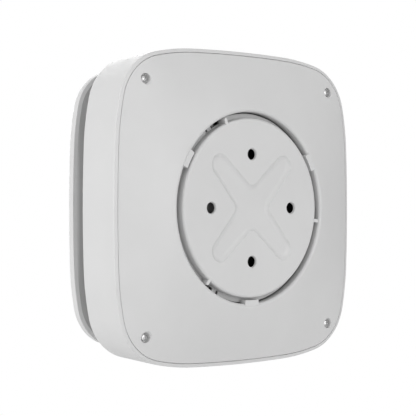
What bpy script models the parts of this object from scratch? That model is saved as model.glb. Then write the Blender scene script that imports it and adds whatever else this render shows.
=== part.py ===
"""A compact wall-mounted alarm sounder: bracket, twist-on housing and what the housing holds.

Every piece is modelled face on, in a frame whose X is the world's X, whose Y is up, and whose Z is the
depth in front of the wall. The empty wall_frame stands that frame upright, so that the wall is the plane
Y = 0 and the front faces -Y.
"""

from math import acos, atan2, cos, pi, radians, sin

import bmesh
import bpy
from mathutils import Matrix, Vector

MM = 0.001

# Overall sizes
WIDTH = 124 * MM
DEPTH = 45 * MM
CLEARANCE = 0.3 * MM  # between pieces that touch or fit

# Outline of the body, at the seam between back cover and shell: a rounded square with bowed sides
SIDE_RADIUS = 597 * MM
SIDE_TURN = radians(2.3)
SHOULDER_RADIUS = 101.5 * MM
SHOULDER_TURN = radians(12.6)
PLATE_SHOULDER_TURN = radians(11.7)  # the front plate's corners are rounder
SIDE_STEPS = 1
COVER_SIDE_STEPS = 3
SHOULDER_STEPS = 2
CORNER_STEPS = 3
CROSS_STEPS = 3

# Housing shell
SEAM_DEPTH = 7.2 * MM
LIP = 1.46 * MM  # from the seam out to the side wall
LIP_CHAMFER = 1.1 * MM
SHELL_WALL = 3.0 * MM
SHELL_DRAFT = 1.13 * MM
FRONT_EDGE = 0.8 * MM
FRONT_WALL = 1.6 * MM
LEDGE = 3.5 * MM  # from the seam to the ledge that the gasket lies on

# Back cover and its well
OPENING_RADIUS = 37.7 * MM
RIM_INSET = 0.1 * MM
RIM_FILLET = 1.2 * MM
DOME_FULLNESS = 0.25
COVER_WALL = 1.8 * MM
COVER_SKIRT = 2.0 * MM
WELL_DEPTH = 8.6 * MM
WELL_WALL = 1.6 * MM
WELL_FLOOR = 1.5 * MM
GASKET_WIDTH = 1.1 * MM

# Wall bracket
BRACKET_THICKNESS = 1.5 * MM
GROOVE = 2.4 * MM  # radial gap between bracket disc and opening
BRACKET_EDGE = 1.2 * MM
SKIRT_WALL = 1.6 * MM
FLANGE_DEPTH = 3.7 * MM
FLANGE_THICKNESS = 1.5 * MM
FLANGE_REACH = 2.0 * MM
FOOT_HEIGHT = 1.6 * MM
HOLE_INSET = 14.2 * MM  # from the bracket's edge to a wall hole's middle
HOLE_RADIUS = 2.25 * MM
RIB_THICKNESS = 1.3 * MM
BRACKET_SIDES = 48

# X recess in the bracket
CROSS_DEPTH = 1.0 * MM
CROSS_SLOPE = 2.2 * MM
CROSS_REACH = 21.0 * MM
CROSS_END_RADIUS = 4.3 * MM
CROSS_WAIST = 9.1 * MM
CROSS_WAIST_RADIUS = 3.0 * MM
CROSS_BACKING = 0.6 * MM

# Bayonet, as angles round the depth axis
TAB_ANGLES = [radians(a) for a in (30, 150, 270)]
TAB_WIDTH = radians(10.8)
TAB_OVERHANG = 1.5 * MM
RIB_LEAD = radians(38.3)  # from a tab's middle to the rib that stops it
NOTCH_START = radians(1.2)
NOTCH_END = radians(13.9)
FOOT_START = radians(14.1)
FOOT_END = radians(18.0)
STOP_START = radians(9.0)
STOP_END = radians(12.5)

# Screws: head radius, head height, shank radius, length under the head
COVER_SCREW = (1.6 * MM, 0.8 * MM, 0.9 * MM, 8.0 * MM)
PLATE_SCREW = (2.6 * MM, 1.2 * MM, 1.0 * MM, 9.0 * MM)
BOARD_SCREW = (2.0 * MM, 0.8 * MM, 0.8 * MM, 5.5 * MM)
COVER_SCREW_INSET = 13.6 * MM  # from the side of the body to the screw's axis
COVER_RECESS_RADIUS = 2.0 * MM
COVER_SCREW_SINK = 0.7 * MM
COVER_BOSS_RADIUS = 3.4 * MM
COVER_POST_RADIUS = 3.9 * MM
PLATE_SCREW_SPREAD = 36 * MM
PLATE_BOSS_RADIUS = 3.2 * MM
BOARD_POST_RADIUS = 2.4 * MM
RECESS_RADIUS = 1.0 * MM  # drive recess in a screw head

# Front plate and the slotted neck behind it
PLATE_DEPTH = 4.0 * MM
SHADOW_GAP = 11.8 * MM  # between the shell's front and the plate's back edge
PLATE_INSET = 3.86 * MM  # from the seam outline in to the plate's side
PLATE_FILLET = 1.5 * MM
PLATE_SKIN = 2.0 * MM
PLATE_BAND = 1.6 * MM
PLATE_BACK_EDGE = 0.3 * MM
NECK_INSET = 12 * MM  # from the seam outline in to the neck
NECK_WALL = 1.5 * MM
NECK_FILLET = 1.2 * MM
FLANGE_SKIN = 1.2 * MM
FLANGE_DROP = 1.5 * MM  # how far the flange falls back between its edge and the neck
SLOT_WIDTH = 3.5 * MM
SLOT_HEIGHT = 4.5 * MM
SLOT_PITCH = 12 * MM
SLOTS_A_SIDE = 7
MESH_THICKNESS = 0.4 * MM

# Front button, light guide
TEST_BUTTON_RADIUS = 13 * MM
TEST_BUTTON_TRAVEL = 0.8 * MM
STEM_RADIUS = 2.5 * MM
BUTTON_FLANGE = 1.6 * MM
BUTTON_FLANGE_THICKNESS = 0.8 * MM
BUTTON_EDGE = 0.5 * MM
LIGHT_GUIDE_RADIUS = 1.8 * MM
LIGHT_GUIDE_HEIGHT = 30 * MM
LIGHT_GUIDE_FLANGE = 1 * MM

# Sounder
SOUNDER_RADIUS = 22.5 * MM
SOUNDER_HEIGHT = 12.3 * MM
SOUNDER_WALL = 1.5 * MM
SOUNDER_FLOOR = 1.2 * MM
SOUNDER_LEDGE = 1.4 * MM
SOUNDER_LEDGE_HEIGHT = 6.9 * MM
SOUNDER_X = -31 * MM
MOUTH_RADIUS = 7.5 * MM
PIEZO_THICKNESS = 0.5 * MM
CERAMIC_RADIUS = 12.5 * MM
LEAD_RADIUS = 0.45 * MM

# Circuit board
BOARD_DEPTH = 15.4 * MM
BOARD_THICKNESS = 1.6 * MM
BOARD_LEFT = -6 * MM
BOARD_RIGHT = 53 * MM
BOARD_HALF_HEIGHT = 38 * MM
BOARD_CORNER = 3 * MM
BOARD_SCREW_INSET = (3.5 * MM, 3 * MM)

# Parts soldered to the board's front: x, height, width across, width up, thickness, or radius and thickness
MICROCONTROLLER = (16 * MM, 14 * MM, 7 * MM, 7 * MM, 1.0 * MM)
RADIO_SHIELD = (36 * MM, 18 * MM, 18 * MM, 14 * MM, 2.6 * MM)
SOUNDER_DRIVER = (14 * MM, -12 * MM, 5 * MM, 4 * MM, 1.5 * MM)
LAMP_SIZE = (3.2 * MM, 2.8 * MM, 1.2 * MM)
BOOST_COIL = (28 * MM, -16 * MM, 5 * MM, 5 * MM)
STORAGE_CAPACITOR = (42 * MM, -18 * MM, 4 * MM, 7.5 * MM)
SWITCH_BODY = 2.2 * MM
SWITCH_NIB = 0.5 * MM
SWITCH_HALF = 3.0 * MM
TAMPER_SWITCH = (5 * MM, 3 * MM, 2 * MM)
TAMPER_SWITCH_GAP = 2.5 * MM
ANTENNA_HALF_LENGTH = 18 * MM
ANTENNA_BEND = 2 * MM
ANTENNA_STANDOFF = 2.5 * MM
ANTENNA_RADIUS = 0.4 * MM

# Parts reached through the well floor
POWER_BUTTON_RADIUS = 3.5 * MM
POWER_BUTTON_TRAVEL = 0.5 * MM
POWER_BUTTON_X = 16 * MM
POWER_BUTTON_FLANGE = 1.2 * MM
PLUNGER_RADIUS = 2.0 * MM
PLUNGER_TRAVEL = 1.0 * MM
PLUNGER_RELEASE = 1.1 * MM  # how much further out it goes with the bracket taken off
PLUNGER_INSET = 5.7 * MM  # from the bracket's skirt in to the plunger's axis
PLUNGER_COLLAR = 1.4 * MM

# Springs: wire radius, and turns
COIL_STEPS = 8
TEST_SPRING = (0.35 * MM, 5)
TEST_SPRING_GAP = 1.5 * MM  # from the stem to the spring's middle line
TAMPER_SPRING = (0.25 * MM, 2)
CELL_SPRING = (0.3 * MM, 3)

# Battery cells
CELL_RADIUS = 8.35 * MM
CELL_LENGTH = 34 * MM
CELL_NUB = (2.9 * MM, 1.2 * MM)
CELL_DEPTH = 16 * MM
CELL_EDGE = 0.5 * MM
HOLDER_WIDTH = 13 * MM
HOLDER_WALL = 1.3 * MM
HOLDER_TOP = 9.5 * MM
CONTACT_THICKNESS = 0.4 * MM
SPRING_LENGTH = 3.0 * MM

# Places worked out from the sizes above
SEAM_HALF = WIDTH / 2 - LIP
SHELL_FRONT = DEPTH - PLATE_DEPTH - SHADOW_GAP
SHELL_FLOOR = SHELL_FRONT - FRONT_WALL
LEDGE_DEPTH = SEAM_DEPTH + LEDGE
PLATE_REAR = DEPTH - PLATE_DEPTH
WELL_BOTTOM = WELL_DEPTH + WELL_FLOOR
WELL_OUTER = OPENING_RADIUS + WELL_WALL
BRACKET_RADIUS = OPENING_RADIUS - GROOVE
HOLE_CIRCLE_RADIUS = BRACKET_RADIUS - HOLE_INSET
PLUNGER_HEIGHT = BRACKET_RADIUS - SKIRT_WALL - PLUNGER_INSET
FLANGE_BOTTOM = FLANGE_DEPTH + FLANGE_THICKNESS
BOARD_FRONT = BOARD_DEPTH + BOARD_THICKNESS
SHELL_INNER = LIP - SHELL_WALL  # offset of the shell's inner wall from the seam outline
COVER_SCREW_SPREAD = WIDTH / 2 - COVER_SCREW_INSET
PIEZO_DEPTH = SHELL_FLOOR - CLEARANCE - SOUNDER_LEDGE_HEIGHT - CLEARANCE - PIEZO_THICKNESS
CORNERS = [(sx, sy) for sx in (-1, 1) for sy in (-1, 1)]
ALONG_X = (0, pi / 2, 0)  # turns a piece modelled along the depth axis to lie along X


# ---------------------------------------------------------------- scene and materials

def clear_scene():
    for obj in list(bpy.data.objects):
        bpy.data.objects.remove(obj, do_unlink=True)


def collection(name):
    made = bpy.data.collections.new(name)
    bpy.context.scene.collection.children.link(made)
    return made


def material(name, color, roughness, metallic=0.0):
    made = bpy.data.materials.new(name)
    made.use_nodes = True
    shader = made.node_tree.nodes["Principled BSDF"]
    shader.inputs["Base Color"].default_value = (*color, 1)
    shader.inputs["Roughness"].default_value = roughness
    shader.inputs["Metallic"].default_value = metallic
    made.diffuse_color = (*color, 1)
    return made


clear_scene()
PARTS = collection("alarm_siren")
CUTTERS = collection("cutters")

WHITE = material("white_plastic", (0.80, 0.80, 0.80), 0.45)
BRACKET_WHITE = material("bracket_plastic", (0.76, 0.76, 0.76), 0.5)
BUTTON_WHITE = material("button_plastic", (0.78, 0.78, 0.79), 0.4)
DARK = material("dark_plastic", (0.05, 0.05, 0.055), 0.5)
CLEAR = material("clear_plastic", (0.85, 0.88, 0.9), 0.1)
RUBBER = material("gasket_rubber", (0.12, 0.12, 0.12), 0.8)
STEEL = material("steel", (0.62, 0.62, 0.60), 0.3, 1.0)
BRASS = material("brass", (0.72, 0.52, 0.22), 0.35, 1.0)
CERAMIC = material("piezo_ceramic", (0.72, 0.66, 0.52), 0.6)
BOARD = material("circuit_board", (0.02, 0.16, 0.07), 0.4)
CHIP = material("chip_epoxy", (0.02, 0.02, 0.02), 0.55)
CELL = material("cell_sleeve", (0.10, 0.16, 0.30), 0.35)
RED_WIRE = material("red_wire", (0.55, 0.03, 0.03), 0.45)
BLACK_WIRE = material("black_wire", (0.02, 0.02, 0.02), 0.45)
LAMP = material("lamp", (0.9, 0.85, 0.75), 0.3)

WALL_FRAME = bpy.data.objects.new("wall_frame", None)
WALL_FRAME.rotation_euler = (pi / 2, 0, 0)
bpy.context.scene.collection.objects.link(WALL_FRAME)


# ---------------------------------------------------------------- building tools

def place(obj, into=PARTS, at=(0, 0, 0), turn=(0, 0, 0), parent=WALL_FRAME):
    into.objects.link(obj)
    obj.parent = parent
    obj.location = at
    obj.rotation_euler = turn
    if into is CUTTERS:
        obj.hide_render = True
        obj.display_type = "WIRE"
    return obj


def from_bmesh(name, bm, look, **where):
    bmesh.ops.recalc_face_normals(bm, faces=bm.faces)
    mesh = bpy.data.meshes.new(name)
    bm.to_mesh(mesh)
    bm.free()
    mesh.shade_smooth()
    mesh.set_sharp_from_angle(angle=radians(30))
    if look:
        mesh.materials.append(look)
    return place(bpy.data.objects.new(name, mesh), **where)


def box(name, low, high, look=None, **where):
    """A block between two corners."""
    low, high = Vector(low), Vector(high)
    bm = bmesh.new()
    bmesh.ops.create_cube(bm, size=1)
    bmesh.ops.scale(bm, vec=high - low, verts=bm.verts)
    bmesh.ops.translate(bm, vec=(low + high) / 2, verts=bm.verts)
    return from_bmesh(name, bm, look, **where)


def rod(name, x, y, radius, start, end, look=None, sides=16, **where):
    """A cylinder along the depth axis."""
    bm = bmesh.new()
    middle = Matrix.Translation((x, y, (start + end) / 2))
    bmesh.ops.create_cone(
        bm, cap_ends=True, segments=sides, radius1=radius, radius2=radius, depth=end - start, matrix=middle
    )
    return from_bmesh(name, bm, look, **where)


def turned(name, profile, look=None, sides=32, closed=False, **where):
    """A turned piece. The profile lists (radius, depth), down the outer side from its deepest point."""
    mesh = bpy.data.meshes.new(name)
    points = [(radius, 0, depth) for radius, depth in profile]
    edges = [(i, i + 1) for i in range(len(points) - 1)]
    if closed:
        edges.append((len(points) - 1, 0))
    mesh.from_pydata(points, edges, [])
    if look:
        mesh.materials.append(look)
    obj = place(bpy.data.objects.new(name, mesh), **where)
    screw = obj.modifiers.new("turn", "SCREW")
    screw.steps = screw.render_steps = sides
    screw.use_merge_vertices = True
    screw.merge_threshold = 1e-5
    screw.use_smooth_shade = True
    return obj


def curve_mesh(name, curve, look, **where):
    """The mesh of a curve, with its caps welded on."""
    guide = bpy.data.objects.new(name + "_curve", curve)
    bpy.context.scene.collection.objects.link(guide)
    bpy.context.view_layer.update()
    mesh = bpy.data.meshes.new_from_object(guide.evaluated_get(bpy.context.evaluated_depsgraph_get()))
    bpy.data.objects.remove(guide)
    bm = bmesh.new()
    bm.from_mesh(mesh)
    bmesh.ops.remove_doubles(bm, verts=bm.verts, dist=1e-6)
    return from_bmesh(name, bm, look, **where)


def plate(name, outline, near, far, look=None, **where):
    """A flat outline of (x, y) points, from one depth to another."""
    curve = bpy.data.curves.new(name, "CURVE")
    curve.dimensions = "2D"
    curve.fill_mode = "BOTH"
    curve.extrude = (far - near) / 2
    spline = curve.splines.new("POLY")
    spline.points.add(len(outline) - 1)
    for point, (x, y) in zip(spline.points, outline):
        point.co = (x, y, 0, 1)
    spline.use_cyclic_u = True
    obj = curve_mesh(name, curve, look, **where)
    obj.data.transform(Matrix.Translation((0, 0, (near + far) / 2)))
    return obj


def wire(name, points, radius, look, **where):
    """A round wire through the points."""
    curve = bpy.data.curves.new(name, "CURVE")
    curve.dimensions = "3D"
    curve.bevel_depth = radius
    curve.bevel_resolution = 0
    curve.use_fill_caps = True
    spline = curve.splines.new("POLY")
    spline.points.add(len(points) - 1)
    for point, at in zip(spline.points, points):
        point.co = (*at, 1)
    return curve_mesh(name, curve, look, **where)


def coil(name, radius, tip_radius, start, end, size, **where):
    """A compression spring along its own Z, from start to end, wound from radius to tip_radius."""
    wire_radius, turns = size
    steps = turns * COIL_STEPS
    points = []
    for i in range(steps + 1):
        share = i / steps
        angle = 2 * pi * turns * share
        now = radius + (tip_radius - radius) * share
        height = start + wire_radius + (end - start - 2 * wire_radius) * share
        points.append((now * cos(angle), now * sin(angle), height))
    return wire(name, points, wire_radius, STEEL, **where)


def loft(name, sections, look=None, closed=False, **where):
    """A skin over sections with as many points each. An open loft is capped, a closed one joins its ends."""
    bm = bmesh.new()
    rings = [[bm.verts.new(point) for point in section] for section in sections]
    pairs = list(zip(rings, rings[1:]))
    if closed:
        pairs.append((rings[-1], rings[0]))
    for ring, after in pairs:
        for i in range(len(ring)):
            j = (i + 1) % len(ring)
            bm.faces.new((ring[i], ring[j], after[j], after[i]))
    if not closed:
        bm.faces.new(rings[0])
        bm.faces.new(rings[-1])
    return from_bmesh(name, bm, look, **where)


def combine(target, operation, tools):
    for tool in tools:
        step = target.modifiers.new(operation.lower(), "BOOLEAN")
        step.operation = operation
        step.object = tool


def cut(target, *tools):
    combine(target, "DIFFERENCE", tools)


def join(target, *tools):
    combine(target, "UNION", tools)


# ---------------------------------------------------------------- outlines

def outline_arcs(shoulder_turn):
    """The three arcs from the middle of a side to the diagonal: centre, radius, start and end angle."""
    side = Vector((SEAM_HALF - SIDE_RADIUS, 0))
    shoulder = side + (SIDE_RADIUS - SHOULDER_RADIUS) * Vector((cos(SIDE_TURN), sin(SIDE_TURN)))
    across = cos(shoulder_turn) - sin(shoulder_turn)
    corner_radius = SHOULDER_RADIUS + (shoulder.x - shoulder.y) / across
    corner = shoulder + (SHOULDER_RADIUS - corner_radius) * Vector((cos(shoulder_turn), sin(shoulder_turn)))
    return [
        (side, SIDE_RADIUS, 0, SIDE_TURN),
        (shoulder, SHOULDER_RADIUS, SIDE_TURN, shoulder_turn),
        (corner, corner_radius, shoulder_turn, pi / 4),
    ]


def square_outline(offset, depth, shoulder_turn=SHOULDER_TURN, side_steps=SIDE_STEPS):
    """The body's rounded square, at a distance outside the seam outline, anticlockwise from +X."""
    eighth = []
    for (centre, radius, start, end), steps in zip(
        outline_arcs(shoulder_turn), (side_steps, SHOULDER_STEPS, CORNER_STEPS)
    ):
        for i in range(steps):
            angle = start + (end - start) * i / steps
            eighth.append(centre + (radius + offset) * Vector((cos(angle), sin(angle))))
    centre, radius, _, _ = outline_arcs(shoulder_turn)[-1]
    diagonal = centre + (radius + offset) * Vector((cos(pi / 4), sin(pi / 4)))
    quarter = eighth + [diagonal] + [Vector((p.y, p.x)) for p in reversed(eighth[1:])]
    turns = [Matrix.Rotation(k * pi / 2, 2) for k in range(4)]
    return [(*(turn @ p), depth) for turn in turns for p in quarter]


def plate_outline(offset, depth):
    return square_outline(offset, depth, PLATE_SHOULDER_TURN)


def cover_outline(offset, depth):
    return square_outline(offset, depth, side_steps=COVER_SIDE_STEPS)


def round_outline(radius, depth):
    """A circle with its points in line with the cover outline's points."""
    angles = [atan2(y, x) for x, y, _ in cover_outline(0, 0)]
    return [(radius * cos(a), radius * sin(a), depth) for a in angles]


def between(first, second, share, depth):
    """The section part of the way from one outline to another."""
    return [
        (a[0] + (b[0] - a[0]) * share, a[1] + (b[1] - a[1]) * share, depth) for a, b in zip(first, second)
    ]


def sector(inner, outer, start, end, steps=4):
    """A piece of a flat ring between two angles."""
    angles = [start + (end - start) * i / steps for i in range(steps + 1)]
    out = [(outer * cos(a), outer * sin(a)) for a in angles]
    back = [(inner * cos(a), inner * sin(a)) for a in reversed(angles)]
    return out + back


def cross_outline(inset):
    """The X of the bracket, drawn in by an inset: round arm ends, straight sides and round waists."""
    reach = CROSS_REACH - CROSS_END_RADIUS
    end = Vector((reach, reach))
    waist = Vector((CROSS_WAIST + CROSS_WAIST_RADIUS, 0))
    end_radius = CROSS_END_RADIUS - inset
    waist_radius = CROSS_WAIST_RADIUS + inset
    across = waist - end
    normal_angle = atan2(across.y, across.x) + acos((end_radius + waist_radius) / across.length)
    shares = [i / CROSS_STEPS for i in range(CROSS_STEPS + 1)]
    half_end = [normal_angle + (pi / 4 - normal_angle) * share for share in shares]
    half_waist = [pi + normal_angle * share for share in shares]
    eighth = [waist + waist_radius * Vector((cos(a), sin(a))) for a in half_waist]
    eighth += [end + end_radius * Vector((cos(a), sin(a))) for a in half_end]
    quarter = eighth + [Vector((p.y, p.x)) for p in reversed(eighth[1:-1])]
    turns = [Matrix.Rotation(k * pi / 2, 2) for k in range(4)]
    return [tuple(turn @ p) for turn in turns for p in quarter]


def dome_depth(share):
    """How deep the cover's outer face lies, from its opening (share 0) to the seam (share 1)."""
    rise = SEAM_DEPTH - RIM_INSET
    return SEAM_DEPTH - rise * (1 - share) * (1 + DOME_FULLNESS * share)


def cover_screw_depth():
    """Depth of the cover's outer face at a corner screw."""
    seam = max(x for x, y, _ in cover_outline(-CLEARANCE, 0) if abs(x - y) < 1e-6)
    rim = (OPENING_RADIUS + RIM_FILLET) * cos(pi / 4)
    return dome_depth((COVER_SCREW_SPREAD - rim) / (seam - rim))


# ---------------------------------------------------------------- fasteners

def screw(name, size, x, y, seat):
    """A pan-head screw driven towards the front. Its head is on the wall side of the seat depth."""
    head_radius, head_height, shank_radius, length = size
    top = seat - head_height
    body = turned(
        name,
        [
            (0, seat + length),
            (shank_radius, seat + length),
            (shank_radius, seat),
            (head_radius, seat),
            (head_radius, top + head_height * 0.5),
            (head_radius * 0.8, top),
            (0, top),
        ],
        STEEL,
        sides=12,
        at=(x, y, 0),
    )
    recess = rod(
        name + "_drive", x, y, RECESS_RADIUS, top - head_height, top + head_height / 2, sides=6, into=CUTTERS
    )
    cut(body, recess)
    return body


# ---------------------------------------------------------------- wall bracket

def bayonet_angles(start, end):
    """The same stretch measured back from each of the three ribs."""
    return [(tab + RIB_LEAD - end, tab + RIB_LEAD - start) for tab in TAB_ANGLES]


def mounting_bracket():
    flange_radius = BRACKET_RADIUS + FLANGE_REACH
    skirt = BRACKET_RADIUS - SKIRT_WALL
    bracket = turned(
        "mounting_bracket",
        [
            (0, BRACKET_THICKNESS),
            (skirt, BRACKET_THICKNESS),
            (skirt, FLANGE_BOTTOM),
            (flange_radius, FLANGE_BOTTOM),
            (flange_radius, FLANGE_DEPTH),
            (BRACKET_RADIUS, FLANGE_DEPTH),
            (BRACKET_RADIUS, BRACKET_EDGE),
            (BRACKET_RADIUS - BRACKET_EDGE, 0),
            (0, 0),
        ],
        BRACKET_WHITE,
        sides=BRACKET_SIDES,
        turn=(0, 0, pi / BRACKET_SIDES),
    )
    backing = plate(
        "cross_backing",
        cross_outline(-CROSS_BACKING),
        BRACKET_THICKNESS - CROSS_BACKING / 2,
        BRACKET_THICKNESS + CROSS_DEPTH,
        into=CUTTERS,
    )
    join(bracket, backing)
    for number, (start, end) in enumerate(bayonet_angles(NOTCH_START, NOTCH_END)):
        notch = plate(
            f"notch_{number}",
            sector(BRACKET_RADIUS + CLEARANCE, flange_radius + FLANGE_REACH, start, end),
            FLANGE_DEPTH - FLANGE_THICKNESS / 2,
            FLANGE_BOTTOM + FLANGE_THICKNESS,
            into=CUTTERS,
        )
        cut(bracket, notch)
    for number, (start, end) in enumerate(bayonet_angles(FOOT_START, FOOT_END)):
        foot = plate(
            f"foot_{number}",
            sector(skirt + SKIRT_WALL / 2, flange_radius - CLEARANCE, start, end, steps=2),
            FLANGE_BOTTOM - FLANGE_THICKNESS / 2,
            FLANGE_BOTTOM + FOOT_HEIGHT,
            into=CUTTERS,
        )
        join(bracket, foot)
    for number, tab in enumerate(TAB_ANGLES):
        rib = box(
            f"rib_{number}",
            (BRACKET_RADIUS - SKIRT_WALL / 2, -RIB_THICKNESS / 2, BRACKET_EDGE / 4),
            (OPENING_RADIUS - CLEARANCE, RIB_THICKNESS / 2, FLANGE_DEPTH + FLANGE_THICKNESS / 2),
            into=CUTTERS,
            turn=(0, 0, tab + RIB_LEAD),
        )
        join(bracket, rib)
    for k in range(4):
        hole = rod(
            f"wall_hole_{k}",
            HOLE_CIRCLE_RADIUS * cos(k * pi / 2),
            HOLE_CIRCLE_RADIUS * sin(k * pi / 2),
            HOLE_RADIUS,
            -BRACKET_THICKNESS,
            2 * BRACKET_THICKNESS,
            into=CUTTERS,
        )
        cut(bracket, hole)
    slope = CROSS_SLOPE / CROSS_DEPTH
    levels = (-CLEARANCE, CROSS_DEPTH)
    cross = loft(
        "cross_recess", [[(x, y, d) for x, y in cross_outline(slope * d)] for d in levels], into=CUTTERS
    )
    cut(bracket, cross)


# ---------------------------------------------------------------- back cover

def cover_sections():
    """The cover as one skin: well floor, well wall, dome, skirt, and back along the inside."""
    rim = round_outline(OPENING_RADIUS + RIM_FILLET, 0)
    edge = cover_outline(-CLEARANCE, 0)
    inner_rim = round_outline(WELL_OUTER, 0)
    inner_edge = cover_outline(-CLEARANCE - COVER_SKIRT, 0)
    sections = [
        round_outline(OPENING_RADIUS, WELL_DEPTH),
        round_outline(OPENING_RADIUS, RIM_INSET + RIM_FILLET),
        round_outline(OPENING_RADIUS + RIM_FILLET * 0.3, RIM_INSET + RIM_FILLET * 0.3),
    ]
    for share in (0, 0.35, 0.7, 1):
        sections.append(between(rim, edge, share, dome_depth(share)))
    skirt_end = LEDGE_DEPTH - 5 * CLEARANCE
    sections.append(cover_outline(-CLEARANCE, skirt_end))
    sections.append(cover_outline(-CLEARANCE - COVER_SKIRT, skirt_end))
    for share in (0.7, 0.35, 0):
        sections.append(between(inner_rim, inner_edge, share, dome_depth(share) + COVER_WALL))
    sections.append(round_outline(WELL_OUTER, WELL_BOTTOM))
    return sections


def back_cover():
    cover = loft("back_cover", cover_sections(), WHITE)
    tab_far = FLANGE_DEPTH - CLEARANCE
    root = OPENING_RADIUS + WELL_WALL / 2
    for number, tab in enumerate(TAB_ANGLES):
        shape = sector(OPENING_RADIUS - TAB_OVERHANG, root, tab - TAB_WIDTH / 2, tab + TAB_WIDTH / 2)
        join(cover, plate(f"tab_{number}", shape, RIM_INSET + CLEARANCE / 3, tab_far, into=CUTTERS))
    for number, (start, end) in enumerate(bayonet_angles(STOP_START, STOP_END)):
        stop = plate(
            f"stop_{number}",
            sector(BRACKET_RADIUS + SKIRT_WALL, root, start, end, steps=1),
            FLANGE_BOTTOM + CLEARANCE,
            WELL_DEPTH + WELL_FLOOR / 2,
            into=CUTTERS,
        )
        join(cover, stop)
    seat = cover_screw_depth() + COVER_SCREW_SINK + COVER_SCREW[1] + CLEARANCE
    for number, (sx, sy) in enumerate(CORNERS, 1):
        x, y = sx * COVER_SCREW_SPREAD, sy * COVER_SCREW_SPREAD
        boss_near, boss_far = seat - COVER_WALL / 2, LEDGE_DEPTH - CLEARANCE
        boss = rod(f"cover_boss_{number}", x, y, COVER_BOSS_RADIUS, boss_near, boss_far, into=CUTTERS)
        recess = rod(f"cover_recess_{number}", x, y, COVER_RECESS_RADIUS, 0, seat, into=CUTTERS)
        bore_radius = COVER_SCREW[2] + CLEARANCE
        bore = rod(f"cover_bore_{number}", x, y, bore_radius, seat / 2, LEDGE_DEPTH, sides=12, into=CUTTERS)
        join(cover, boss)
        cut(cover, recess, bore)
        screw(f"cover_screw_{number}", COVER_SCREW, x, y, seat - CLEARANCE)
    for name, x, y, radius in (
        ("power_hole", POWER_BUTTON_X, 0, POWER_BUTTON_RADIUS),
        ("plunger_hole", 0, PLUNGER_HEIGHT, PLUNGER_RADIUS),
    ):
        cut(cover, rod(name, x, y, radius + CLEARANCE, WELL_DEPTH / 2, LEDGE_DEPTH, into=CUTTERS))


def cover_gasket():
    middle = SHELL_INNER / 2
    outer, inner = middle + GASKET_WIDTH / 2, middle - GASKET_WIDTH / 2
    near, far = LEDGE_DEPTH - 4 * CLEARANCE, LEDGE_DEPTH - CLEARANCE
    corners = ((inner, near), (outer, near), (outer, far), (inner, far))
    loft("cover_gasket", [square_outline(offset, depth) for offset, depth in corners], RUBBER, closed=True)


# ---------------------------------------------------------------- housing shell

def board_screw_places():
    dx, dy = BOARD_SCREW_INSET
    return [
        (x, sy * (BOARD_HALF_HEIGHT - dy)) for x in (BOARD_LEFT + dx, BOARD_RIGHT - dx) for sy in (-1, 1)
    ]


def shell_sections():
    side = LIP - SHELL_DRAFT
    corners = (
        (SHELL_INNER, SHELL_FLOOR),
        (SHELL_INNER, LEDGE_DEPTH),
        (0, LEDGE_DEPTH),
        (0, SEAM_DEPTH),
        (LIP * 0.25, SEAM_DEPTH - LIP_CHAMFER * 0.1),
        (LIP * 0.7, SEAM_DEPTH + LIP_CHAMFER * 0.3),
        (LIP, SEAM_DEPTH + LIP_CHAMFER),
        (side, SHELL_FRONT - FRONT_EDGE),
        (side - FRONT_EDGE, SHELL_FRONT),
    )
    return [square_outline(offset, depth) for offset, depth in corners]


def housing_shell():
    shell = loft("housing_shell", shell_sections(), WHITE)
    joined = SHELL_FLOOR + FRONT_WALL / 2
    posts = []
    bores = []
    for number, (sx, sy) in enumerate(CORNERS, 1):
        x, y = sx * COVER_SCREW_SPREAD, sy * COVER_SCREW_SPREAD
        posts.append((f"cover_post_{number}", x, y, COVER_POST_RADIUS, LEDGE_DEPTH))
        bores.append((f"cover_thread_{number}", x, y, COVER_SCREW[2] + CLEARANCE, LEDGE_DEPTH, SHELL_FLOOR))
        px, py = sx * PLATE_SCREW_SPREAD, sy * PLATE_SCREW_SPREAD
        bores.append((f"plate_hole_{number}", px, py, PLATE_SCREW[2] + CLEARANCE, SHELL_FLOOR, SHELL_FRONT))
    for number, (x, y) in enumerate(board_screw_places(), 1):
        posts.append((f"board_post_{number}", x, y, BOARD_POST_RADIUS, BOARD_FRONT + CLEARANCE))
        bores.append((f"board_thread_{number}", x, y, BOARD_SCREW[2] + CLEARANCE, BOARD_FRONT, SHELL_FLOOR))
    bores.append(("stem_hole", 0, 0, STEM_RADIUS + CLEARANCE, SHELL_FLOOR, SHELL_FRONT))
    guide_radius = LIGHT_GUIDE_RADIUS + CLEARANCE
    bores.append(("guide_hole", 0, LIGHT_GUIDE_HEIGHT, guide_radius, SHELL_FLOOR, SHELL_FRONT))
    bores.append(("mouth_hole", SOUNDER_X, 0, MOUTH_RADIUS, SHELL_FLOOR, SHELL_FRONT))
    for name, x, y, radius, near in posts:
        join(shell, rod(name, x, y, radius, near, joined, into=CUTTERS))
    for name, x, y, radius, near, far in bores:
        through = far + FRONT_WALL / 2 if far == SHELL_FRONT else far
        cut(shell, rod(name, x, y, radius, near - FRONT_WALL / 2, through, sides=12, into=CUTTERS))


# ---------------------------------------------------------------- front plate and sound outlet

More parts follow.
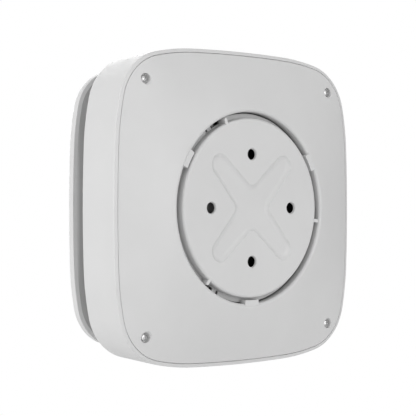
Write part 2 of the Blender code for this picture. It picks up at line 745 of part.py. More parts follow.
def sound_outlet():
    """The slotted neck, with the sloping flange that closes the back of the front plate."""
    outer, inner = -NECK_INSET, -NECK_INSET - NECK_WALL
    edge = -PLATE_INSET - PLATE_BAND - CLEARANCE
    foot, root = SHELL_FRONT + CLEARANCE, PLATE_REAR - FLANGE_DROP
    corners = (
        (inner, foot),
        (outer, foot),
        (outer, root - NECK_FILLET),
        (outer + NECK_FILLET, root),
        (edge, PLATE_REAR),
        (edge, PLATE_REAR + FLANGE_SKIN),
        (outer + NECK_FILLET, root + FLANGE_SKIN),
        (inner, root + FLANGE_SKIN),
    )
    outlet = loft("sound_outlet", [plate_outline(*corner) for corner in corners], WHITE, closed=True)
    reach = WIDTH / 2
    near = foot + (root - NECK_FILLET - foot - SLOT_HEIGHT) / 2
    for number in range(SLOTS_A_SIDE):
        middle = (number - (SLOTS_A_SIDE - 1) / 2) * SLOT_PITCH
        low, high = middle - SLOT_WIDTH / 2, middle + SLOT_WIDTH / 2
        far = near + SLOT_HEIGHT
        across = box(f"slot_x_{number}", (-reach, low, near), (reach, high, far), into=CUTTERS)
        upright = box(f"slot_y_{number}", (low, -reach, near), (high, reach, far), into=CUTTERS)
        cut(outlet, across, upright)


def dust_mesh():
    outer = -NECK_INSET - NECK_WALL - CLEARANCE
    inner = outer - MESH_THICKNESS
    near, far = SHELL_FRONT + CLEARANCE, PLATE_REAR - FLANGE_DROP
    corners = ((inner, near), (outer, near), (outer, far), (inner, far))
    loft("dust_mesh", [plate_outline(*corner) for corner in corners], DARK, closed=True)


def front_plate():
    skin = DEPTH - PLATE_SKIN
    outer, inner = -PLATE_INSET, -PLATE_INSET - PLATE_BAND
    corners = (
        (inner - PLATE_SKIN / 2, skin),
        (inner, skin - PLATE_SKIN / 4),
        (inner, PLATE_REAR),
        (outer - PLATE_BACK_EDGE, PLATE_REAR),
        (outer, PLATE_REAR + PLATE_BACK_EDGE),
        (outer, DEPTH - PLATE_FILLET),
        (outer - PLATE_FILLET * 0.29, DEPTH - PLATE_FILLET * 0.29),
        (outer - PLATE_FILLET, DEPTH),
    )
    front = loft("front_plate", [plate_outline(*corner) for corner in corners], WHITE)
    near, far = SHELL_FRONT + CLEARANCE, skin + PLATE_SKIN / 2
    thread_radius = PLATE_SCREW[2] + CLEARANCE
    for number, (sx, sy) in enumerate(CORNERS, 1):
        x, y = sx * PLATE_SCREW_SPREAD, sy * PLATE_SCREW_SPREAD
        boss = rod(f"plate_boss_{number}", x, y, PLATE_BOSS_RADIUS, near, far, into=CUTTERS)
        deep = near + PLATE_SCREW[3]
        bore = rod(f"plate_thread_{number}", x, y, thread_radius, SHELL_FRONT, deep, sides=12, into=CUTTERS)
        join(front, boss)
        cut(front, bore)
        screw(f"plate_screw_{number}", PLATE_SCREW, x, y, SHELL_FLOOR - CLEARANCE)
    for name, y, radius, sides in (
        ("button_hole", 0, TEST_BUTTON_RADIUS, 32),
        ("lens_hole", LIGHT_GUIDE_HEIGHT, LIGHT_GUIDE_RADIUS, 12),
    ):
        hole_near, hole_far = skin - PLATE_SKIN, DEPTH + PLATE_SKIN
        cut(front, rod(name, 0, y, radius + CLEARANCE, hole_near, hole_far, sides=sides, into=CUTTERS))


# ---------------------------------------------------------------- buttons and what they press

def test_button():
    skin = DEPTH - PLATE_SKIN - CLEARANCE
    flange = skin - BUTTON_FLANGE_THICKNESS
    switch_top = BOARD_FRONT + CLEARANCE + SWITCH_BODY + SWITCH_NIB
    stem_end = switch_top + TEST_BUTTON_TRAVEL + CLEARANCE
    turned(
        "test_button",
        [
            (0, DEPTH),
            (TEST_BUTTON_RADIUS - BUTTON_EDGE, DEPTH),
            (TEST_BUTTON_RADIUS, DEPTH - BUTTON_EDGE),
            (TEST_BUTTON_RADIUS, skin),
            (TEST_BUTTON_RADIUS + BUTTON_FLANGE, skin),
            (TEST_BUTTON_RADIUS + BUTTON_FLANGE, flange),
            (STEM_RADIUS, flange),
            (STEM_RADIUS, stem_end),
            (0, stem_end),
        ],
        BUTTON_WHITE,
        sides=32,
    )
    spring_radius = STEM_RADIUS + TEST_SPRING_GAP
    near, far = SHELL_FRONT + CLEARANCE, flange - TEST_BUTTON_TRAVEL - CLEARANCE
    coil("test_button_spring", spring_radius, spring_radius, near, far, TEST_SPRING)


def power_button():
    flange = WELL_BOTTOM + CLEARANCE
    flange_far = flange + BUTTON_FLANGE_THICKNESS
    flange_radius = POWER_BUTTON_RADIUS + POWER_BUTTON_FLANGE
    end = BOARD_DEPTH - CLEARANCE - SWITCH_BODY - SWITCH_NIB - POWER_BUTTON_TRAVEL - CLEARANCE / 3
    turned(
        "power_button",
        [
            (0, end),
            (SWITCH_HALF / 2, end),
            (SWITCH_HALF / 2, flange_far),
            (flange_radius, flange_far),
            (flange_radius, flange),
            (POWER_BUTTON_RADIUS, flange),
            (POWER_BUTTON_RADIUS, WELL_DEPTH - CLEARANCE),
            (POWER_BUTTON_RADIUS - CLEARANCE, WELL_DEPTH - 2 * CLEARANCE),
            (0, WELL_DEPTH - 2 * CLEARANCE),
        ],
        BUTTON_WHITE,
        sides=16,
        at=(POWER_BUTTON_X, 0, 0),
    )


def tamper_plunger():
    collar = WELL_BOTTOM + CLEARANCE + PLUNGER_RELEASE
    collar_far = collar + BUTTON_FLANGE_THICKNESS
    tip = BRACKET_THICKNESS + CLEARANCE
    turned(
        "tamper_plunger",
        [
            (0, collar_far),
            (PLUNGER_RADIUS + PLUNGER_COLLAR, collar_far),
            (PLUNGER_RADIUS + PLUNGER_COLLAR, collar),
            (PLUNGER_RADIUS, collar),
            (PLUNGER_RADIUS, tip + BUTTON_EDGE),
            (PLUNGER_RADIUS - BUTTON_EDGE, tip),
            (0, tip),
        ],
        DARK,
        sides=16,
        at=(0, PLUNGER_HEIGHT, 0),
    )
    near, far = collar_far + PLUNGER_TRAVEL + CLEARANCE / 3, BOARD_DEPTH - CLEARANCE
    wide = PLUNGER_RADIUS + PLUNGER_COLLAR - 2 * TAMPER_SPRING[0]
    coil("tamper_spring", wide, PLUNGER_RADIUS, near, far, TAMPER_SPRING, at=(0, PLUNGER_HEIGHT, 0))


def push_switch(name, x, y, face, way):
    """A tactile switch on the board, with a nib that points along way: 1 to the front, -1 to the wall."""
    start = face + way * CLEARANCE
    top = start + way * SWITCH_BODY
    tip = top + way * SWITCH_NIB
    low = (x - SWITCH_HALF, y - SWITCH_HALF, min(start, top))
    high = (x + SWITCH_HALF, y + SWITCH_HALF, max(start, top))
    body = box(name, low, high, DARK)
    near, far = sorted((top - way * SWITCH_NIB, tip))
    join(body, rod(name + "_nib", x, y, SWITCH_HALF / 2, near, far, sides=12, into=CUTTERS))


# ---------------------------------------------------------------- sounder

def sounder():
    far = SHELL_FLOOR - CLEARANCE
    inside = SOUNDER_RADIUS - SOUNDER_WALL
    ledge = far - SOUNDER_LEDGE_HEIGHT
    turned(
        "sounder_case",
        [
            (SOUNDER_RADIUS, far),
            (SOUNDER_RADIUS, far - SOUNDER_HEIGHT),
            (inside, far - SOUNDER_HEIGHT),
            (inside, ledge),
            (inside - SOUNDER_LEDGE, ledge),
            (inside - SOUNDER_LEDGE, far - SOUNDER_FLOOR),
            (MOUTH_RADIUS, far - SOUNDER_FLOOR),
            (MOUTH_RADIUS, far),
        ],
        DARK,
        sides=30,
        closed=True,
        at=(SOUNDER_X, 0, 0),
    )
    plate_far = PIEZO_DEPTH + PIEZO_THICKNESS
    rod("piezo_plate", SOUNDER_X, 0, inside - CLEARANCE, PIEZO_DEPTH, plate_far, BRASS, sides=30)
    ceramic_far = PIEZO_DEPTH - CLEARANCE
    ceramic_near = ceramic_far - PIEZO_THICKNESS
    rod("piezo_ceramic", SOUNDER_X, 0, CERAMIC_RADIUS, ceramic_near, ceramic_far, CERAMIC, sides=24)
    for name, look, side, start_x, start_depth in (
        ("sounder_lead_red", RED_WIRE, 1, CERAMIC_RADIUS * 0.6, ceramic_near),
        ("sounder_lead_black", BLACK_WIRE, -1, CERAMIC_RADIUS + 3 * MM, PIEZO_DEPTH),
    ):
        sounder_lead(name, look, side, start_x, start_depth, far - SOUNDER_HEIGHT)


def sounder_lead(name, look, side, start_x, start_depth, rim):
    """A wire from the disc, over the case's rim and round the board's edge to its back."""
    over = min(rim, BOARD_DEPTH) - CLEARANCE - 2 * LEAD_RADIUS
    route = [
        (SOUNDER_X + start_x, side * 4 * MM, start_depth - CLEARANCE - LEAD_RADIUS),
        (SOUNDER_X + start_x + 1.5 * MM, side * 4.4 * MM, (start_depth + over) / 2),
        (SOUNDER_X + SOUNDER_RADIUS - 3.5 * MM, side * 5 * MM, over + CLEARANCE),
        (SOUNDER_X + SOUNDER_RADIUS, side * 6 * MM, over - CLEARANCE),
        (BOARD_LEFT + 2 * MM, side * 7.5 * MM, over + CLEARANCE),
        (BOARD_LEFT + 3.5 * MM, side * 8 * MM, BOARD_DEPTH - CLEARANCE),
    ]
    wire(name, route, LEAD_RADIUS, look)


# ---------------------------------------------------------------- circuit board

def rounded_rectangle(left, right, bottom, top, radius, steps=4):
    centres = ((right, top), (left, top), (left, bottom), (right, bottom))
    inward = ((-1, -1), (1, -1), (1, 1), (-1, 1))
    points = []
    for k, ((x, y), (ix, iy)) in enumerate(zip(centres, inward)):
        for i in range(steps + 1):
            angle = (k + i / steps) * pi / 2
            points.append((x + ix * radius + radius * cos(angle), y + iy * radius + radius * sin(angle)))
    return points


def circuit_board():
    shape = rounded_rectangle(BOARD_LEFT, BOARD_RIGHT, -BOARD_HALF_HEIGHT, BOARD_HALF_HEIGHT, BOARD_CORNER)
    board = plate("circuit_board", shape, BOARD_DEPTH, BOARD_FRONT, BOARD)
    near, far = BOARD_DEPTH - BOARD_THICKNESS, BOARD_FRONT + BOARD_THICKNESS
    for number, (x, y) in enumerate(board_screw_places(), 1):
        hole_radius = BOARD_SCREW[2] + CLEARANCE
        cut(board, rod(f"board_hole_{number}", x, y, hole_radius, near, far, sides=12, into=CUTTERS))
        screw(f"board_screw_{number}", BOARD_SCREW, x, y, BOARD_DEPTH - CLEARANCE)


def board_block(name, look, x, y, width, height, thickness):
    """A part soldered to the front of the board, given by its middle."""
    near = BOARD_FRONT + CLEARANCE
    box(name, (x - width / 2, y - height / 2, near), (x + width / 2, y + height / 2, near + thickness), look)


def board_can(name, look, x, y, radius, height):
    """A round part soldered to the front of the board."""
    near = BOARD_FRONT + CLEARANCE
    rod(name, x, y, radius, near, near + height, look, sides=20)


def board_parts():
    board_block("microcontroller", CHIP, *MICROCONTROLLER)
    board_block("radio_shield", STEEL, *RADIO_SHIELD)
    board_block("sounder_driver", CHIP, *SOUNDER_DRIVER)
    board_block("status_lamp", LAMP, 0, LIGHT_GUIDE_HEIGHT, *LAMP_SIZE)
    board_can("boost_coil", DARK, *BOOST_COIL)
    board_can("storage_capacitor", DARK, *STORAGE_CAPACITOR)
    push_switch("test_switch", 0, 0, BOARD_FRONT, 1)
    push_switch("power_switch", POWER_BUTTON_X, 0, BOARD_DEPTH, -1)
    across, up, thickness = TAMPER_SWITCH
    left = PLUNGER_RADIUS + TAMPER_SWITCH_GAP
    far = BOARD_DEPTH - CLEARANCE
    low = (left, PLUNGER_HEIGHT - up / 2, far - thickness)
    box("tamper_switch", low, (left + across, PLUNGER_HEIGHT + up / 2, far), DARK)


def antenna():
    foot, high = BOARD_DEPTH - CLEARANCE, BOARD_DEPTH - ANTENNA_STANDOFF
    inboard, reach = BOARD_RIGHT - ANTENNA_BEND, BOARD_RIGHT + ANTENNA_BEND
    end, turn = ANTENNA_HALF_LENGTH, ANTENNA_HALF_LENGTH - ANTENNA_BEND
    route = [
        (inboard - 1 * MM, -end, foot),
        (inboard, -end, high),
        (reach, -turn, high),
        (reach, turn, high),
        (inboard, end, high),
        (inboard - 3 * MM, end, high),
    ]
    wire("antenna", route, ANTENNA_RADIUS, BRASS)


def light_guide():
    start = BOARD_FRONT + 2 * CLEARANCE + LAMP_SIZE[2]
    skin = DEPTH - PLATE_SKIN - CLEARANCE
    turned(
        "light_guide",
        [
            (0, DEPTH),
            (LIGHT_GUIDE_RADIUS - CLEARANCE, DEPTH),
            (LIGHT_GUIDE_RADIUS, DEPTH - CLEARANCE),
            (LIGHT_GUIDE_RADIUS, skin),
            (LIGHT_GUIDE_RADIUS + LIGHT_GUIDE_FLANGE, skin),
            (LIGHT_GUIDE_RADIUS + LIGHT_GUIDE_FLANGE, skin - BUTTON_FLANGE_THICKNESS),
            (LIGHT_GUIDE_RADIUS, skin - BUTTON_FLANGE_THICKNESS),
            (LIGHT_GUIDE_RADIUS, start),
            (0, start),
        ],
        CLEAR,
        sides=16,
        at=(0, LIGHT_GUIDE_HEIGHT, 0),
    )


# ---------------------------------------------------------------- batteries

def battery(number, side):
    """A cell lying along X against the shell's top or bottom wall, in its holder."""
    nub_radius, nub_height = CELL_NUB
    sag = SIDE_RADIUS - (SIDE_RADIUS**2 - (CELL_LENGTH / 2) ** 2) ** 0.5
    height = side * (SEAM_HALF + SHELL_INNER - sag - 2 * CLEARANCE - CELL_RADIUS)
    middle = (0, height, CELL_DEPTH)
    half = CELL_LENGTH / 2
    turned(
        f"battery_cell_{number}",
        [
            (0, half + nub_height),
            (nub_radius, half + nub_height),
            (nub_radius, half),
            (CELL_RADIUS - CELL_EDGE, half),
            (CELL_RADIUS, half - CELL_EDGE),
            (CELL_RADIUS, -half + CELL_EDGE),
            (CELL_RADIUS - CELL_EDGE, -half),
            (0, -half),
        ],
        CELL,
        sides=20,
        at=middle,
        turn=ALONG_X,
    )
    contact = half + nub_height + CLEARANCE
    wall_right = contact + CONTACT_THICKNESS + CLEARANCE
    wall_left = -half - 2 * CLEARANCE - SPRING_LENGTH
    box(
        f"battery_contact_{number}",
        (contact, height - HOLDER_WIDTH / 3, CELL_DEPTH - CELL_RADIUS * 0.6),
        (contact + CONTACT_THICKNESS, height + HOLDER_WIDTH / 3, CELL_DEPTH + CELL_RADIUS * 0.6),
        STEEL,
    )
    near, far = wall_left + CLEARANCE, -half - CLEARANCE
    coil(
        f"battery_spring_{number}", CELL_RADIUS * 0.55, CELL_RADIUS * 0.3, near, far, CELL_SPRING,
        at=middle, turn=ALONG_X,
    )
    floor = CELL_DEPTH + CELL_RADIUS + CLEARANCE
    profile = [
        (wall_left - HOLDER_WALL, HOLDER_TOP),
        (wall_left, HOLDER_TOP),
        (wall_left, floor),
        (wall_right, floor),
        (wall_right, HOLDER_TOP),
        (wall_right + HOLDER_WALL, HOLDER_TOP),
        (wall_right + HOLDER_WALL, floor + HOLDER_WALL),
        (wall_left - HOLDER_WALL, floor + HOLDER_WALL),
    ]
    plate(
        f"battery_holder_{number}",
        profile,
        -height - HOLDER_WIDTH / 2,
        -height + HOLDER_WIDTH / 2,
        DARK,
        turn=(pi / 2, 0, 0),
    )


# ---------------------------------------------------------------- the assembly

mounting_bracket()
back_cover()
cover_gasket()
housing_shell()
sound_outlet()
dust_mesh()
front_plate()
test_button()
power_button()
tamper_plunger()
sounder()
circuit_board()
board_parts()
antenna()
light_guide()
battery(1, 1)
battery(2, -1)
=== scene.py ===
"""The looks of the alarm sounder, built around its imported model. Lengths are in metres.

Shapes are drawn face on, as (x, height, depth in front of the wall), and stood upright by stand(). The wall is
the plane Y = 0 and the front faces -Y.
"""

from math import acos, atan2, cos, pi, radians, sin

import bmesh
import bpy
from mathutils import Matrix, Vector


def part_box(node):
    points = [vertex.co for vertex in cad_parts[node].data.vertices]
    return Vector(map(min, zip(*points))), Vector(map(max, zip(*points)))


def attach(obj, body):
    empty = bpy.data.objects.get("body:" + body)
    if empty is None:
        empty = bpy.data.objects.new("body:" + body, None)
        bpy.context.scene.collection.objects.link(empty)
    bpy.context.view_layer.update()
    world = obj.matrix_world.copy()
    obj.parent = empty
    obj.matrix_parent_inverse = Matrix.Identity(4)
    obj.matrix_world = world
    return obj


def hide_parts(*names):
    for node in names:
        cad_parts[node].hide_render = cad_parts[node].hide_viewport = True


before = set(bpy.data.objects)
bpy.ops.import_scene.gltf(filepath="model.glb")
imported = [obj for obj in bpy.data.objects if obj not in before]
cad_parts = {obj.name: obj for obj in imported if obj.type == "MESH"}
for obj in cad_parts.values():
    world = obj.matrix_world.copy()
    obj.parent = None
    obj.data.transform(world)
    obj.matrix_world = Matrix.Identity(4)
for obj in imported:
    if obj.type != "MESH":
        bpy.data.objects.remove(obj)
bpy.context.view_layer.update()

MM = 0.001

# ---------------------------------------------------------------- sizes, from the frame and from the design

SHELL_LOW, SHELL_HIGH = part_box("housing_shell")
HALF_WIDTH = SHELL_HIGH.x
DEPTH = -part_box("front_plate")[0].y
SHELL_FRONT = -SHELL_LOW.y
FIT = 0.14 * MM  # gap at a fit, finer than the frame's
PAST = 1 * MM  # how far a cutter, or a piece to be joined on, runs past a face
GAP = 0.3 * MM  # gap at a place that stays open
POLE = 0.1 * MM  # radius of the small flat at the end of a turned piece
COLLAR = 0.8 * MM  # thickness of the collar that keeps a button, the plunger or the light guide in

# the shell, and the outline it shares with the cover
SEAM_DEPTH = 7.2 * MM
LIP = 1.46 * MM  # how far the shell stands outside the seam
LIP_FALL = 0.45 * MM  # how far the lip slopes down from the seam to the side
SEAM_HALF = HALF_WIDTH - LIP
SHELL_WALL = 3.0 * MM
SHELL_DRAFT = 1.13 * MM
FRONT_WALL = 1.6 * MM
SHELL_FLOOR = SHELL_FRONT - FRONT_WALL
LEDGE_DEPTH = SEAM_DEPTH + 3.5 * MM
SIDE_RADIUS = 597 * MM
SIDE_TURN = radians(2.3)
SHOULDER_RADIUS = 101.5 * MM
SHOULDER_TURN = radians(12.6)
PLATE_SHOULDER_TURN = radians(11.7)

# the shell's posts, and the holes in its front wall
COVER_POST_RADIUS = 3.9 * MM
COVER_POST_BORE = 1.2 * MM
BOARD_POST_RADIUS = 2.4 * MM
BOARD_POST_BORE = 1.1 * MM
BOARD_POST_TOP = 17.3 * MM
STEM_HOLE = 2.8 * MM
GUIDE_HOLE = 2.1 * MM
SOUNDER_HOLE = 7.5 * MM
SOUNDER_X = -31 * MM
LENS_HEIGHT = 30 * MM
PLATE_SCREW_SPREAD = 36 * MM
PLATE_SCREW_HOLE = 1.3 * MM

# back cover
OPENING_RADIUS = 37.7 * MM
RIM_INSET = 0.1 * MM
RIM_FILLET = 1.2 * MM
DOME_FULLNESS = 0.25
COVER_WALL = 1.8 * MM
COVER_SKIRT = 2.0 * MM
WELL_DEPTH = 8.6 * MM
WELL_WALL = 1.6 * MM
WELL_BOTTOM = WELL_DEPTH + 1.5 * MM
DOME_STEPS = 26
SKIRT_SHORT = 1.3 * MM  # from the end of the cover's skirt to the shell's ledge
COVER_BOSS_RADIUS = 3.4 * MM
SCREW_SEAT = 1.1 * MM  # from the top of a cover screw's head to its seat
SCREW_SUNK = 0.7 * MM  # from the cover's face to the top of the head
RECESS_MOUTH = 2.9 * MM
RECESS_RADIUS = 2.0 * MM
RECESS_BORE = 1.2 * MM
POWER_HOLE = 3.8 * MM
PLUNGER_HOLE = 2.3 * MM

# wall bracket
BRACKET_RADIUS = 35.3 * MM
BRACKET_THICKNESS = 1.5 * MM
SKIRT_WALL = 1.6 * MM
FLANGE_DEPTH = 3.7 * MM
FLANGE_BOTTOM = 5.2 * MM
FLANGE_RADIUS = BRACKET_RADIUS + 2.0 * MM
FOOT_BOTTOM = 6.8 * MM
HOLE_CIRCLE_RADIUS = 21.1 * MM
HOLE_RADIUS = 2.25 * MM
HOLE_MOUTH = HOLE_RADIUS + 0.7 * MM
HOLE_NECK = HOLE_RADIUS - 0.15 * MM
HOLE_UNDERCUT = HOLE_RADIUS + 1.2 * MM
RIB_THICKNESS = 1.3 * MM
BRACKET_EDGE = 1.2 * MM
BRACKET_BAND = 1 * MM  # flat band inside the rounded edge
CROSS_DEPTH = 1.0 * MM
CROSS_FLOOR = 3.4 * MM  # inset at which the skin starts, on the floor of the X
CROSS_STEPS = 9
CROSS_SLOPE = 2.2 * MM
CROSS_REACH = 21.0 * MM
CROSS_END_RADIUS = 4.3 * MM
CROSS_WAIST = 9.1 * MM
CROSS_WAIST_RADIUS = 3.0 * MM
CROSS_BEVEL = 1.2 * MM  # how far the face around the X is drawn with it

# the bayonet: angles from a tab, or back from a rib
TAB_ANGLES = [radians(a) for a in (30, 150, 270)]
TAB_WIDTH = radians(10.8)
TAB_OVERHANG = 1.5 * MM
RIB_LEAD = radians(38.3)
NOTCH = (radians(1.2), radians(13.9))
NOTCH_RADIUS = BRACKET_RADIUS + 0.25 * MM
FOOT = (radians(14.1), radians(18.0))
STOP = (radians(9.0), radians(12.5))
STOP_RADIUS = BRACKET_RADIUS + 1.6 * MM
TONGUE = (radians(8.9), radians(12.3))
HEEL = (radians(5.2), radians(7.2))

# front plate and sound outlet
PLATE_INSET = 3.86 * MM
PLATE_REAR = DEPTH - 4.0 * MM
PLATE_SKIN = 2.0 * MM
PLATE_BAND = 1.6 * MM
PLATE_BOSS_RADIUS = 3.2 * MM
PLATE_BORE_DEPTH = 9.3 * MM
BUTTON_HOLE = 13.15 * MM
BUTTON_EDGE = 13.4 * MM
BUTTON_MOUTH = 14.3 * MM
LENS_HOLE = 1.95 * MM
LENS_MOUTH = 2.6 * MM
NECK_OFFSET = -12 * MM
NECK_ROOT = DEPTH - 5.5 * MM
NECK_WALL = 1.5 * MM
FLANGE_SKIN = 1.2 * MM
SLOT_WIDTH = 3.5 * MM
SLOT_HEIGHT = 4.5 * MM
SLOT_PITCH = 12 * MM
SLOTS_A_SIDE = 7
SLOT_MARGIN = 1.2 * MM  # kept free of slots at the neck's root

# buttons, plunger and light guide, by radius
BUTTON_RADIUS = 13 * MM
DISH_RADIUS = 11.5  # in millimetres
DISH_DEPTH = 0.35 * MM
BUTTON_STEM = 2.5 * MM
POWER_RADIUS = 3.5 * MM
POWER_COLLAR = 4.7 * MM
POWER_STEM = 1.5 * MM
PLUNGER_RADIUS = 2 * MM
PLUNGER_FOOT = 3.4 * MM
GUIDE_RADIUS = 1.8 * MM
GUIDE_COLLAR = 2.8 * MM

# screws
THREAD_PITCH = 0.9 * MM
THREAD_ROOT = 0.74  # share of the shank's radius
THREAD_START = 0.8 * MM  # below the head
THREAD_FREE = 1.6 * MM  # of the shank, without thread
POINT_LENGTH = 0.7 * MM
SLOT_ARM, SLOT_HALF = 0.52, 0.13  # shares of the head's radius
SLOT_TURN = 0.4

CORNERS = [(sx, sy) for sx in (-1, 1) for sy in (-1, 1)]


# ---------------------------------------------------------------- outlines

def direction(angle):
    return Vector((cos(angle), sin(angle)))


def outline_arcs(shoulder_turn):
    """Three arcs from the middle of a side to the diagonal: centre, radius, start angle, end angle."""
    side = Vector((SEAM_HALF - SIDE_RADIUS, 0))
    shoulder = side + (SIDE_RADIUS - SHOULDER_RADIUS) * direction(SIDE_TURN)
    across = cos(shoulder_turn) - sin(shoulder_turn)
    corner_radius = SHOULDER_RADIUS + (shoulder.x - shoulder.y) / across
    corner = shoulder + (SHOULDER_RADIUS - corner_radius) * direction(shoulder_turn)
    return [
        (side, SIDE_RADIUS, 0, SIDE_TURN),
        (shoulder, SHOULDER_RADIUS, SIDE_TURN, shoulder_turn),
        (corner, corner_radius, shoulder_turn, pi / 4),
    ]


def square_outline(offset, shoulder_turn=SHOULDER_TURN, steps=(12, 6, 12)):
    """The rounded square with bowed sides, at a distance outside the seam outline."""
    arcs = outline_arcs(shoulder_turn)
    eighth = []
    for (centre, radius, start, end), count in zip(arcs, steps):
        for i in range(count):
            eighth.append(centre + (radius + offset) * direction(start + (end - start) * i / count))
    centre, radius, _, end = arcs[-1]
    corner = centre + (radius + offset) * direction(end)
    quarter = eighth + [corner] + [Vector((p.y, p.x)) for p in reversed(eighth[1:])]
    return [Matrix.Rotation(k * pi / 2, 2) @ p for k in range(4) for p in quarter]


def plate_outline(offset):
    return square_outline(offset, PLATE_SHOULDER_TURN)


def circle(radius, like):
    """A circle whose points lie in line with another outline's points."""
    return [radius * p.normalized() for p in like]


def ring(radius, sides):
    return [radius * direction(2 * pi * i / sides) for i in range(sides)]


def between(first, second, share):
    return [a.lerp(b, share) for a, b in zip(first, second)]


def cross_outline(inset, steps=(6, 14, 10)):
    """The X of the bracket, drawn in by an inset."""
    end = Vector((CROSS_REACH - CROSS_END_RADIUS,) * 2)
    waist = Vector((CROSS_WAIST + CROSS_WAIST_RADIUS, 0))
    end_radius = CROSS_END_RADIUS - inset
    waist_radius = CROSS_WAIST_RADIUS + inset
    across = waist - end
    normal = atan2(across.y, across.x) + acos((end_radius + waist_radius) / across.length)
    waist_steps, side_steps, end_steps = steps
    turns = [pi + normal * i / waist_steps for i in range(waist_steps)]
    waist_arc = [waist + waist_radius * direction(turn) for turn in turns]
    start, stop = waist + waist_radius * direction(pi + normal), end + end_radius * direction(normal)
    side = [start.lerp(stop, i / side_steps) for i in range(side_steps)]
    turns = [normal + (pi / 4 - normal) * i / end_steps for i in range(end_steps + 1)]
    arc = [end + end_radius * direction(turn) for turn in turns]
    eighth = waist_arc + side + arc
    quarter = eighth + [Vector((p.y, p.x)) for p in reversed(eighth[1:-1])]
    return [Matrix.Rotation(k * pi / 2, 2) @ p for k in range(4) for p in quarter]


def sector(inner, outer, start, end, steps=10):
    """A piece of a flat ring between two angles."""
    angles = [start + (end - start) * i / steps for i in range(steps + 1)]
    return [outer * direction(a) for a in angles] + [inner * direction(a) for a in reversed(angles)]


def rounded(points, radii, steps=5):
    """A line of (across, depth) points with each corner that has a radius turned into an arc."""
    made = []
    for i, (point, radius) in enumerate(zip(points, radii)):
        here = Vector(point)
        if not radius:
            made.append(here)
            continue
        before, after = Vector(points[i - 1]), Vector(points[(i + 1) % len(points)])
        back, on = (before - here).normalized(), (after - here).normalized()
        half = back.angle(on) / 2
        reach = radius / abs(sin(half)) * cos(half)
        centre = here + (back + on).normalized() * radius / sin(half)
        first, last = here + back * reach - centre, here + on * reach - centre
        turn = first.angle_signed(last)
        made += [centre + Matrix.Rotation(-turn * k / steps, 2) @ first for k in range(steps + 1)]
    return made


# ---------------------------------------------------------------- mesh tools

def stand(x, y, depth):
    """A face-on place as a point of the frame."""
    return Vector((x, -depth, y))


def middle(low, high):
    """Where the middle of a box lies, face on."""
    return (low.x + high.x) / 2, (low.z + high.z) / 2


def finished(name, bm, look):
    bmesh.ops.recalc_face_normals(bm, faces=bm.faces)
    mesh = bpy.data.meshes.new(name)
    bm.to_mesh(mesh)
    bm.free()
    if look:
        mesh.materials.append(look)
    obj = bpy.data.objects.new(name, mesh)
    bpy.context.scene.collection.objects.link(obj)
    return obj


def loft(name, sections, look=None, closed=False):
    """A skin over (outline, depth) sections with as many points each; an open loft is capped."""
    bm = bmesh.new()
    rings = [[bm.verts.new(stand(p[0], p[1], depth)) for p in points] for points, depth in sections]
    pairs = list(zip(rings, rings[1:]))
    if closed:
        pairs.append((rings[-1], rings[0]))
    for first, second in pairs:
        for i in range(len(first)):
            j = (i + 1) % len(first)
            bm.faces.new((first[i], first[j], second[j], second[i]))
    if not closed:
        bm.faces.new(rings[0])
        bm.faces.new(rings[-1])
    return finished(name, bm, look)


def prism(name, outline, near, far):
    return loft(name, [(outline, near), (outline, far)])


def moved(outline, x, y):
    return [p + Vector((x, y)) for p in outline]


def peg(name, radius, x, y, near, far, sides):
    """A straight round piece."""
    return prism(name, moved(ring(radius, sides), x, y), near, far)


def turned(name, profile, x=0.0, y=0.0, look=None, sides=96):
    """A round piece about the depth axis through (x, y), from (radius, depth) points."""
    sections = [(moved(ring(radius, sides), x, y), depth) for radius, depth in profile]
    return loft(name, sections, look)


def carve(target, operation, tools):
    """Cuts the tools out of the target, or joins them to it, and removes them."""
    for tool in tools:
        step = target.modifiers.new("carve", "BOOLEAN")
        step.operation = operation
        step.object = tool
    bpy.context.view_layer.update()
    seen = target.evaluated_get(bpy.context.evaluated_depsgraph_get())
    carved = bpy.data.meshes.new_from_object(seen)
    target.modifiers.clear()
    target.data = carved
    for tool in tools:
        bpy.data.objects.remove(tool)


def cut(target, *tools):
    carve(target, "DIFFERENCE", tools)


def join(target, *tools):
    carve(target, "UNION", tools)


def shade(obj, sharp=32):
    """Smooth shading that keeps hard edges and leaves flat faces flat."""
    obj.data.shade_smooth()
    obj.data.set_sharp_from_angle(angle=radians(sharp))
    weigh = obj.modifiers.new("normals", "WEIGHTED_NORMAL")
    weigh.keep_sharp = True
    return obj


def show(obj, body, slot, *nodes):
    """Shades a finished piece and puts it in place of its frame nodes."""
    shade(obj)
    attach(obj, body)
    if nodes:
        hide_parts(*nodes)
    return obj


# ---------------------------------------------------------------- materials

